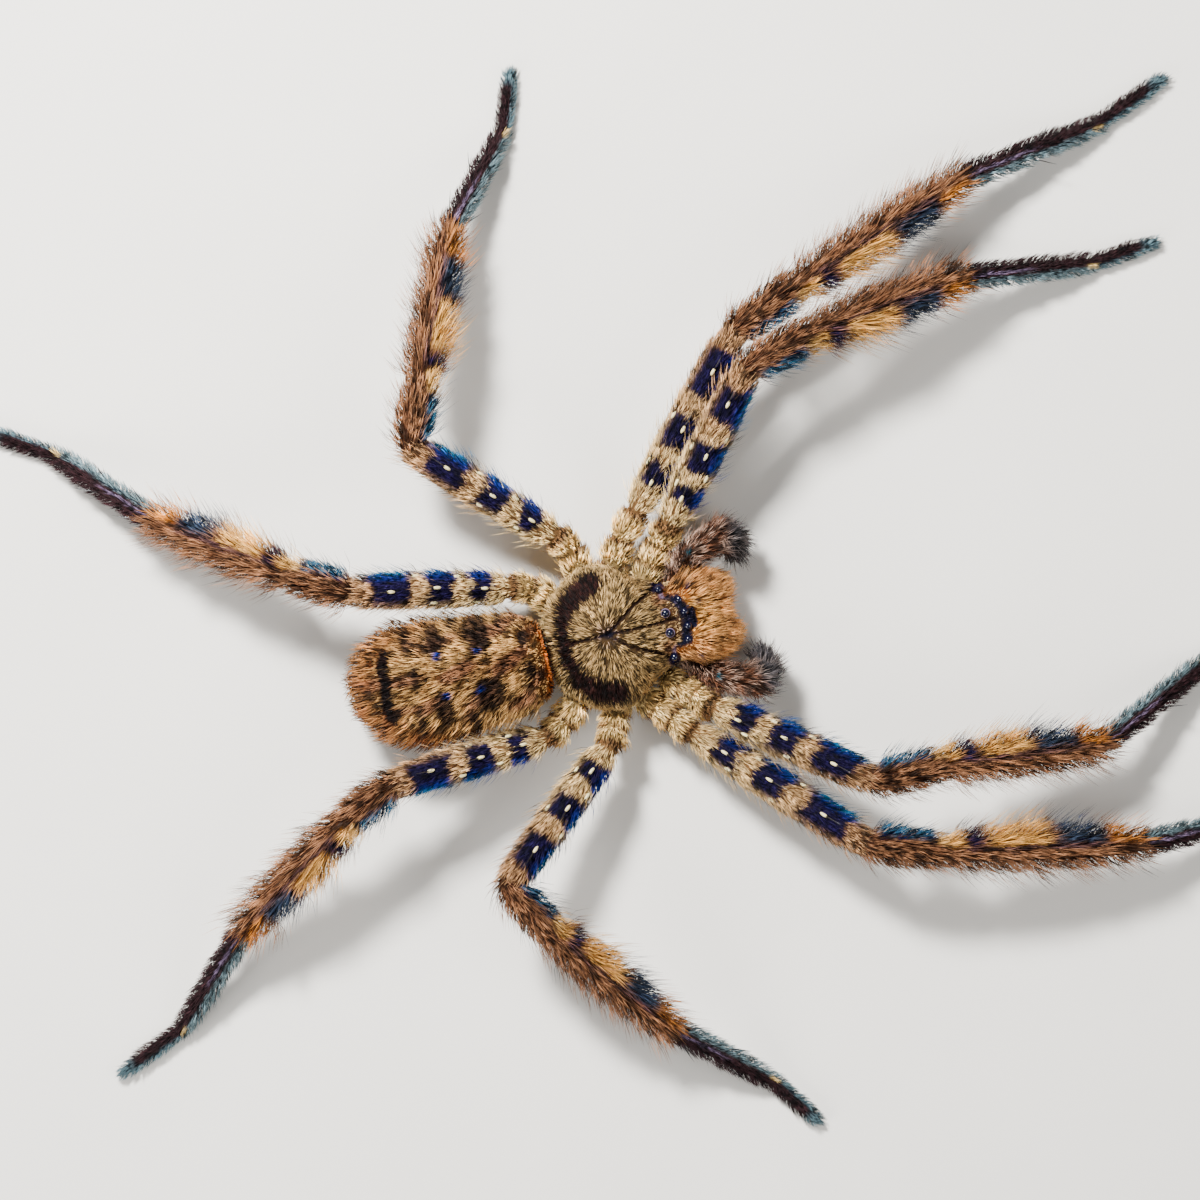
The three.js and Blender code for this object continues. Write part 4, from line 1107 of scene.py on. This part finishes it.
def draw_roots():
    """Draw hair roots on the skin's triangles by their area and the part's density."""
    mesh = skin.data
    mesh.calc_loop_triangles()
    corners = np.empty(len(mesh.loop_triangles) * 3, dtype=int)
    mesh.loop_triangles.foreach_get("vertices", corners)
    corners = skin_points[corners.reshape(-1, 3)]
    cross = np.cross(corners[:, 1] - corners[:, 0], corners[:, 2] - corners[:, 0])
    area = np.linalg.norm(cross, axis=1) / 2
    normal = cross / np.maximum(area, 1e-12)[:, None] / 2
    middle = corners.mean(axis=1)
    owners, _, _, _ = locate(middle)
    density = habit(owners, 0, HABITS) * np.where(normal[:, 2] < -0.35, BELOW_SHARE, 1)
    density = density * np.where(middle[:, 2] < 0.12, 0, 1)
    x, y, z = middle.T
    on_top = (z > 4.6) & (KIND_OF[owners] == "carapace")
    bare = on_top & ((eye_distance(x, y) < 0.44) | (groove_distance(x, y) < 0.09))
    bare = bare | (on_top & (np.hypot(x - FOVEA[0], (y - FOVEA[1]) * 1.6) < 0.2))
    expected = area * np.where(bare, 0, density)
    chosen = np.repeat(np.arange(len(area)), rng.poisson(expected))
    first, second = rng.random((2, len(chosen)))
    fold = first + second > 1
    first[fold], second[fold] = 1 - first[fold], 1 - second[fold]
    corner = corners[chosen]
    roots = (corner[:, 0] + first[:, None] * (corner[:, 1] - corner[:, 0])
             + second[:, None] * (corner[:, 2] - corner[:, 0]))
    return roots, normal[chosen]


def unit(rows):
    """Scale each row to length one."""
    return rows / np.maximum(np.linalg.norm(rows, axis=1), 1e-9)[:, None]


hair_roots, hair_normals = draw_roots()
hair_owner, hair_step, hair_angle, hair_along = locate(hair_roots)
hair_kind = KIND_OF[hair_owner]
print("hairs", len(hair_roots))

# %% [markdown]
# On the legs the hair lies towards the tip. On the shield it lies away from the middle dent, and
# forward on the head. On the abdomen it lies rearward, and it stands out at the sides and rear,
# where it makes the soft outline of the real animal. On the jaws it is combed forward.

# %% Hair directions
hx, hy, hz = hair_roots.T
nowhere = np.zeros_like(hx)
lie = hair_along.copy()
on_shield = hair_kind == "carapace"
outward = np.stack([hx - FOVEA[0], hy - FOVEA[1], nowhere], axis=1)
forward = ramp(hx, 1.0, 3.2)[:, None]
lie[on_shield] = (unit(outward) * (1 - forward) + np.array((1.0, 0, 0)) * forward)[on_shield]
on_abdomen = hair_kind == "abdomen"
lie[on_abdomen] = np.stack([nowhere - 1.0, 0.1 * hy, nowhere - 0.05], axis=1)[on_abdomen]
on_jaw = hair_kind == "jaw"
lie[on_jaw] = np.stack([nowhere + 1.0, 0.1 * hy, nowhere - 0.15], axis=1)[on_jaw]
lie[hair_kind == "sternum"] = (-1.0, 0.0, 0.0)
lie[on_abdomen & (hair_normals[:, 0] > 0.5)] = (-0.3, 0.0, 1.0)
wander = np.stack([ripple(hair_roots, 1.1, seed) for seed in (61, 62, 63)], axis=1)
lie = lie + 0.1 * rng.normal(size=lie.shape) + 0.12 * wander
lie = unit(lie - hair_normals * np.sum(lie * hair_normals, axis=1)[:, None])

is_guard = rng.random(len(hx)) < habit(hair_owner, 0, GUARD_HAIR)
length = np.where(is_guard, habit(hair_owner, 1, GUARD_HAIR), habit(hair_owner, 1, HABITS))
lift = np.where(is_guard, habit(hair_owner, 2, GUARD_HAIR), habit(hair_owner, 2, HABITS))
thickness = np.where(is_guard, habit(hair_owner, 3, GUARD_HAIR), habit(hair_owner, 3, HABITS))
sideways = ramp(np.abs(hair_angle), 38, 75) * (1 - ramp(np.abs(hair_angle), 125, 155))
top_side = 1 - ramp(np.abs(hair_angle), 20, 60)
for kind, longer, higher, lower in (
        ("tibia", 0.6, 18, 14), ("patella", 0.35, 14, 10), ("metatarsus", 0.25, 22, 6), ("tarsus", 0.1, 18, 6),
        ("femur", 0.35, 12, 8)):
    here = hair_kind == kind
    length[here] += longer * sideways[here]
    lift[here] += higher * sideways[here] - lower * top_side[here]
to_joint = np.minimum(hair_step, 1 - hair_step) * np.array(
    [np.linalg.norm(chain["end"] - chain["start"]) for chain in chains] + [9, 9, 9])[hair_owner]
on_coxa = hair_kind == "coxa"
length[on_coxa] *= (0.5 + 0.5 * ramp(to_joint, 0.1, 0.6))[on_coxa]
fan = (hair_kind == "tibia") & (hair_angle > 20) & (hair_angle < 110) & (hair_step > 0.24) & (hair_step < 0.52)
length[fan] *= 1.25
edge = ramp(np.hypot((hx + 13.4) / 7.4, hy / 4.3), 0.72, 1.0)
behind = edge * ramp(-hx, 9.0, 14.0)
is_guard = is_guard | (on_abdomen & (rng.random(len(hx)) < 0.22 * behind))
length[on_abdomen & is_guard] = 1.6
length[on_abdomen & ~is_guard] *= (1 - 0.2 * behind)[on_abdomen & ~is_guard]
thickness[on_abdomen & is_guard] += (0.03 * behind)[on_abdomen & is_guard]
lift[on_abdomen] += (20 * edge)[on_abdomen]
facing = ramp(hair_normals[:, 0], 0.3, 0.8)
lift[on_jaw] += (26 * facing)[on_jaw]
lift[on_jaw & (hz < 2.6)] -= 20
face = on_shield & (hx > 4.6)
length[face] *= 0.6
length[on_shield] *= (0.35 + 0.65 * ramp(eye_distance(hx, hy), 0.5, 1.1))[on_shield]
length[on_shield] *= (0.4 + 0.6 * ramp(groove_distance(hx, hy), 0.08, 0.35))[on_shield]
length[on_jaw & (hx < 6.6) & (np.abs(hy) < 2.2)] *= 0.6
between = on_jaw & (np.abs(hy) < 1.0) & (hz > 2.5)
lift[between] += 22
on_knob = on_shield & (np.hypot(hx - 4.5, np.abs(hy) - 2.25) < 0.45)
length[on_knob] *= 0.4
near_bar = on_abdomen & (line_distance(hx, hy, REAR_BAR) < 0.9)
length[near_bar] *= 0.65
front_cap = on_abdomen & (hair_normals[:, 0] > 0.3)
length[front_cap] = np.minimum(length[front_cap], 0.6)
lift[front_cap] = 40
length[on_shield & (hx < -4.2)] *= 1.35
on_face = (on_shield | on_jaw) & (hx + 0.17 * hy * hy > 5.1) & (hx + 0.12 * hy * hy < 6.2)
on_face = on_face & (np.abs(hy) < 2.3) & (hz > 4.0)
length[on_face] = 0.28
lift[on_face] = 20
length = length * rng.uniform(0.75, 1.2, len(length)) * (1 + 0.12 * ripple(hair_roots, 1.6, 71))
lift = np.radians(np.clip(lift + rng.normal(0, 5, len(lift)), 6, 80))
print("longest hair", round(float(length.max()), 2), "millimetres")

# %% [markdown]
# Real hair gathers in small locks. Every hair leans towards the middle of its lock, which is the
# nearest of a few thousand roots chosen at random, so dark gaps open between the locks.

# %% Locks
LOCK_SHARE = 0.2
middles = np.flatnonzero(rng.random(len(hair_roots)) < LOCK_SHARE)
tree = KDTree(len(middles))
for slot_number, row in enumerate(middles):
    tree.insert(hair_roots[row], slot_number)
tree.balance()
nearest_lock = np.array([tree.find(place)[1] for place in hair_roots])
lock_middle = hair_roots[middles[nearest_lock]]
gather = (lock_middle - hair_roots) * habit(hair_owner, 0, GATHERING)[:, None]
gather = gather * np.minimum(1, 0.35 / np.maximum(np.linalg.norm(gather, axis=1), 1e-9))[:, None]
lock_shade = rng.lognormal(0, 0.3, len(middles))[nearest_lock]
dark_lock = rng.random(len(middles))[nearest_lock] < habit(hair_owner, 1, GATHERING)
print("locks", len(middles))

# %% [markdown]
# The colours come from the painters, read a little way along each hair, because that is where
# the hair is seen. Its root is darkened as painted shade deep in the coat, its middle has the full colour and its
# tip is pale.

# %% Hair colours
spans = np.array([np.linalg.norm(chain["end"] - chain["start"]) for chain in chains] + [1, 1, 1])[hair_owner]


def paint_along(share):
    """Paint every hair at a share of its length."""
    places = hair_roots + lie * (length * share)[:, None]
    steps = np.clip(hair_step + share * length / spans, 0, 1)
    return paint(places, hair_owner, steps, hair_angle)


middle_root, middle_tip = paint_along(0.35)
_, tip_colour = paint_along(0.75)
shade = (rng.lognormal(0, 0.16, len(hair_roots)) * lock_shade)[:, None]
bright = ramp(middle_tip @ np.array((0.3, 0.6, 0.1)), 0.42, 0.62)
dark_hair = dark_lock & (rng.random(len(hair_roots)) > 0.75 * bright)
# The root is darkened to between a tenth and about a third of its colour: painted shade deep in the coat.
root_colour = middle_root * shade * (0.1 + 0.25 * bright)[:, None]
tip_colour = tip_colour * shade * 1.12
middle_colour = (0.45 * middle_root + 0.55 * middle_tip) * shade * 0.85
tip_colour[dark_hair] *= 0.16
middle_colour[dark_hair] *= 0.14
print("dark hairs", int(dark_hair.sum()))

# %% [markdown]
# The unwrap for the coat follows the skin's own shape: along each part in one direction and round
# it in the other. Every hair takes a tiny patch of it at the place of its root.

# %% Unwrap of roots
unwrap = np.zeros((len(hair_roots), 2))
orders = np.array([chain["order"] for chain in chains] + [0, 0, 0])[hair_owner]
unwrap[:, 0] = (orders + hair_step) / len(SEGMENTS)
unwrap[:, 1] = (hair_angle + 180) / 360
unwrap[on_shield] = np.stack([carapace_share(hx), 0.5 + 0.08 * hy], axis=1)[on_shield]
around = np.arctan2(hz - ABDOMEN_AXIS_Z, hy) / (2 * np.pi) + 0.5
unwrap[on_abdomen] = np.stack([abdomen_share(hx), around], axis=1)[on_abdomen]
beneath = hair_kind == "sternum"
unwrap[beneath] = np.stack([0.5 + 0.08 * hx, 0.5 + 0.08 * hy], axis=1)[beneath]
unwrap = np.clip(unwrap, 0.004, 0.996)
PATCH = 0.003
print("unwrap", unwrap.min().round(3), unwrap.max().round(3))

# %% [markdown]
# One builder turns arrays of hairs into a closed mesh: a sunk triangle at the root, a triangle at
# the bend, and a point. The bend brings the tip back towards the skin, as a real hair curves.

# %% Hair builder
HAIR_SIDES = 3
SUNK = 0.08


def hair_mesh(name, rows):
    """Build one mesh from the chosen hairs, with colours and the unwrap."""
    roots, normals, lies = hair_roots[rows], hair_normals[rows], lie[rows]
    tall, rise = length[rows][:, None], lift[rows][:, None]
    thick = thickness[rows][:, None] * (0.8 + 0.4 * rng.random((len(rows), 1)))
    across = np.cross(normals, lies)
    base = roots - normals * SUNK
    bend = roots + (lies * np.cos(rise) + normals * np.sin(rise)) * tall * 0.5 + gather[rows] * 0.4
    tips = bend + (lies * np.cos(rise * 0.6) + normals * np.sin(rise * 0.6)) * tall * 0.5
    tips = tips + gather[rows] * 0.6 + across * tall * rng.normal(0, 0.05, (len(rows), 1))
    bend[:, 2] = np.maximum(bend[:, 2], 0.1)
    tips[:, 2] = np.maximum(tips[:, 2], 0.04)
    turns = np.arange(HAIR_SIDES) * 2 * np.pi / HAIR_SIDES
    rings = []
    for centre, width in ((base, 1.0), (bend, 0.85)):
        for turn in turns:
            rings.append(centre + (across * np.cos(turn) + normals * np.sin(turn)) * thick * width / 2)
    places = np.stack([*rings, tips], axis=1)
    number = len(rows)
    per_hair = places.shape[1]
    faces = [(2, 1, 0)]
    for k in range(HAIR_SIDES):
        after = (k + 1) % HAIR_SIDES
        faces.append((k, after, HAIR_SIDES + after, HAIR_SIDES + k))
        faces.append((HAIR_SIDES + k, HAIR_SIDES + after, 2 * HAIR_SIDES))
    pattern = np.concatenate(faces)
    sizes = np.array([len(corner_list) for corner_list in faces])
    corners = (pattern[None, :] + np.arange(number)[:, None] * per_hair).ravel()
    totals = np.tile(sizes, number)
    starts = np.concatenate([[0], np.cumsum(totals)[:-1]])
    mesh = bpy.data.meshes.new(name)
    mesh.vertices.add(number * per_hair)
    mesh.loops.add(len(corners))
    mesh.polygons.add(len(totals))
    mesh.vertices.foreach_set("co", ((places.reshape(-1, 3) + SHIFT) * MM).ravel())
    mesh.loops.foreach_set("vertex_index", corners)
    mesh.polygons.foreach_set("loop_start", starts)
    mesh.update(calc_edges=True)
    light = np.stack([root_colour[rows]] * HAIR_SIDES + [middle_colour[rows]] * HAIR_SIDES
                     + [tip_colour[rows]], axis=1)
    colours = np.concatenate([light, np.ones((number, per_hair, 1))], axis=2)
    layer = mesh.color_attributes.new("coat_colour", "FLOAT_COLOR", "POINT")
    layer.data.foreach_set("color", colours.ravel())
    spread = np.array([(-1, -1), (0, -1), (1, -1), (-1, 0), (0, 0), (1, 0), (0, 1)]) * PATCH / 2
    patch = unwrap[rows][:, None, :] + spread[None, :, :]
    uv = mesh.uv_layers.new(name="OFBake")
    uv.data.foreach_set("uv", patch.reshape(-1, 2)[corners].ravel())
    mesh.materials.append(coat_finish)
    piece = bpy.data.objects.new(name, mesh)
    bpy.context.scene.collection.objects.link(piece)
    return piece


coat_pieces = []
coat_of = {"carapace": "coat_carapace", "abdomen": "coat_abdomen", "sternum": "coat_carapace"}
part_names = np.array([coat_of.get(part, f"coat_{part}") for part in PARTS])[hair_owner]
for coat_name in sorted(set(part_names)):
    coat_pieces.append(hair_mesh(coat_name, np.flatnonzero(part_names == coat_name)))
print("coat pieces", len(coat_pieces), "faces", sum(len(piece.data.polygons) for piece in coat_pieces))

# %% [markdown]
# ## Spines
# Black spines stand on the legs, and those on the femora each stand in a pale oval socket. One
# spine is a cone drawn out in rings, and it is copied to each place along the segments.

# %% Spine and socket models
SPINE_LENGTH = 1.9
SPINE_RADIUS = 0.075
SOCKET_SIZE = (0.36, 0.14, 0.12)
SPINE_PLACES = {
    "femur": ((0.2, 0), (0.47, 6), (0.78, 0), (0.26, -58), (0.5, -60), (0.6, 58), (0.34, 52)),
    "tibia": ((0.3, 70), (0.32, -70), (0.66, 72), (0.68, -72)),
    "metatarsus": ((0.12, 60), (0.14, -60), (0.5, 62), (0.52, -62)),
}
spine_finish = finish("spine", colour=linear("#120d0f"), scale=4000.0, roughness=0.18, coat=0.4, bump=0.00001)
socket_finish = finish("socket", colour=INK["socket"], scale=5000.0, strength=0.15, roughness=0.3, coat=0.2)


def on_length(chain, step, degrees):
    """Give a place on a length, its outward direction and the direction along it."""
    along, left, up = chain["axes"]
    turn = math.radians(degrees)
    normal = up * math.cos(turn) + left * chain["fore"] * math.sin(turn)
    radius = float(chain["radius"](np.array(step)))
    return chain["start"] + (chain["end"] - chain["start"]) * step + normal * radius, normal, along


spines, sockets = [], []
for chain in chains:
    for step, degrees in SPINE_PLACES.get(chain["kind"], ()):
        place, normal, along = on_length(chain, step + 0.01 * rng.normal(), degrees + 4 * rng.normal())
        lean = math.radians(30 + 7 * rng.normal())
        direction = normal * math.sin(lean) + along * math.cos(lean)
        bpy.ops.object.select_all(action="DESELECT")
        rings = [(place - direction * 0.2, SPINE_RADIUS, SPINE_RADIUS),
                 (place + direction * SPINE_LENGTH * 0.4, SPINE_RADIUS * 0.72, SPINE_RADIUS * 0.72),
                 (place + direction * SPINE_LENGTH * 0.75 + along * 0.08, SPINE_RADIUS * 0.4, SPINE_RADIUS * 0.4),
                 (place + direction * SPINE_LENGTH + along * 0.2, SPINE_RADIUS * 0.08, SPINE_RADIUS * 0.08)]
        spines.append(extrude_rings(rings, 6, Vector(direction).to_track_quat("Z", "Y").to_euler()))
        if chain["kind"] != "femur":
            continue
        bpy.ops.object.select_all(action="DESELECT")
        bpy.ops.mesh.primitive_uv_sphere_add(segments=10, ring_count=6, radius=MM,
                                             location=metres(place + normal * 0.12))
        socket = bpy.context.object
        socket.scale = SOCKET_SIZE
        socket.rotation_euler = Vector(along).to_track_quat("X", "Z").to_euler()
        sockets.append(socket)
print("spines", len(spines), "sockets", len(sockets))


def join_as(name, pieces, material):
    """Join pieces into one object at the origin, with its place in its mesh."""
    bpy.ops.object.select_all(action="DESELECT")
    for piece in pieces:
        piece.select_set(True)
    bpy.context.view_layer.objects.active = pieces[0]
    if len(pieces) > 1:
        bpy.ops.object.join()
    joined = bpy.context.object
    bpy.ops.object.transform_apply(location=True, rotation=True, scale=True)
    bpy.ops.object.shade_smooth()
    joined.name = name
    joined.data.name = name
    joined.data.materials.clear()
    joined.data.materials.append(material)
    return joined


spine_piece = join_as("leg_spines", spines, spine_finish)
socket_piece = join_as("spine_sockets", sockets, socket_finish)

# %% [markdown]
# ## Eyes
# Eight small eyes stand in two rows on the front of the shield. Each is a glossy dark ball half
# sunk in the skin, and the rear middle pair has a pale ring round it.

# %% Eyes
EYE_RADIUS = 0.33
eye_finish = finish("eye", colour=linear("#04061c"), scale=2000.0, strength=0.2, roughness=0.05, coat=0.35,
                    bump=0.000001, shine=0.3)
ring_finish = finish("eye_ring", colour=linear("#6a5a70"), scale=4000.0, strength=0.3, roughness=0.5, shine=0.2)


def shield_height(x, y):
    """Give the height of the shield's solid at a place in plan."""
    share = carapace_share(x)
    across = min(1.0, abs(y) / float(carapace_half_width(share)))
    return RIM_Z + (float(carapace_top(share)) - RIM_Z) * math.sqrt(1 - across * across) ** 0.8


eye_pieces, ring_pieces = [], []
for eye_name, (x, y) in EYES.items():
    for side_name, side in (("left", 1), ("right", -1)):
        low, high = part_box(f"{eye_name}_{side_name}")
        middle = tuple((low[k] + high[k]) / 2 for k in range(3))
        bpy.ops.object.select_all(action="DESELECT")
        bpy.ops.mesh.primitive_uv_sphere_add(segments=32, ring_count=20, radius=EYE_RADIUS * MM, location=middle)
        eye_pieces.append(join_as(f"{eye_name}_{side_name}_ball", [bpy.context.object], eye_finish))
        if eye_name == "eye_rear_middle":
            bpy.ops.object.select_all(action="DESELECT")
            bpy.ops.mesh.primitive_torus_add(major_segments=28, minor_segments=10, major_radius=0.33 * MM,
                                             minor_radius=0.05 * MM, location=middle)
            ring_pieces.append(bpy.context.object)
rings_piece = join_as("eye_rings", ring_pieces, ring_finish)
print("eyes", len(eye_pieces), round(shield_height(4.2, 0.8), 2))

# %% [markdown]
# ## Fangs and claws
# Each fang is a curved, pointed hook folded under its jaw. Two small claws end each leg. Both are
# circles extruded along a curve and drawn to a point.

# %% Fangs and claws
FANG_LINE = ((8.05, 1.95, 1.9), (8.0, 1.85, 1.45), (7.85, 1.55, 1.12), (7.65, 1.05, 0.98), (7.55, 0.45, 0.95))
FANG_RADII = (0.4, 0.36, 0.28, 0.17, 0.04)
claw_finish = finish("fang_and_claw", colour=linear("#1c0e0b"), scale=3000.0, strength=0.3, roughness=0.15, coat=0.5,
                     bump=0.00001)


def hook(line, radii):
    """Extrude a circle along a curved line to a point."""
    first = Vector(np.subtract(line[1], line[0]))
    rings = [(np.array(place), radius, radius) for place, radius in zip(line, radii)]
    return extrude_rings(rings, 10, first.to_track_quat("Z", "Y").to_euler())


fang_pieces = []
for side_name, side in (("left", 1), ("right", -1)):
    line = [(x, y * side, z) for x, y, z in FANG_LINE]
    fang_pieces.append(join_as(f"fang_{side_name}_hook", [hook(line, FANG_RADII)], claw_finish))
claws = []
for leg_name in LEGS:
    joints = leg_joints(leg_name)
    tip = joints[-1]
    ahead = (joints[-1] - joints[-2]) / np.linalg.norm(joints[-1] - joints[-2])
    beside = np.cross((0, 0, 1), ahead)
    for sign in (1, -1):
        start = tip + beside * 0.16 * sign - ahead * 0.25 + np.array((0, 0, 0.15))
        line = [start, start + ahead * 0.35, start + ahead * 0.6 - np.array((0, 0, 0.14)),
                start + ahead * 0.66 - np.array((0, 0, 0.38))]
        claws.append(hook(line, (0.08, 0.07, 0.045, 0.01)))
claw_piece = join_as("claws", claws, claw_finish)
print("claws", len(claws))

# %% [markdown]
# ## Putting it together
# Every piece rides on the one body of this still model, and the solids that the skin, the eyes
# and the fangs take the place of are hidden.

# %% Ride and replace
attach(skin, BODY)
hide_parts(*[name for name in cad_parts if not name.startswith(("eye_", "fang_"))])
for piece in coat_pieces:
    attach(piece, BODY)
for piece in eye_pieces:
    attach(piece, BODY)
    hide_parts(piece.name.removesuffix("_ball"))
for piece in fang_pieces:
    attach(piece, BODY)
    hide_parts(piece.name.removesuffix("_hook"))
for piece, slot in ((rings_piece, "eyes"), (spine_piece, "fangs"), (socket_piece, "femora"), (claw_piece, "fangs")):
    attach(piece, BODY)
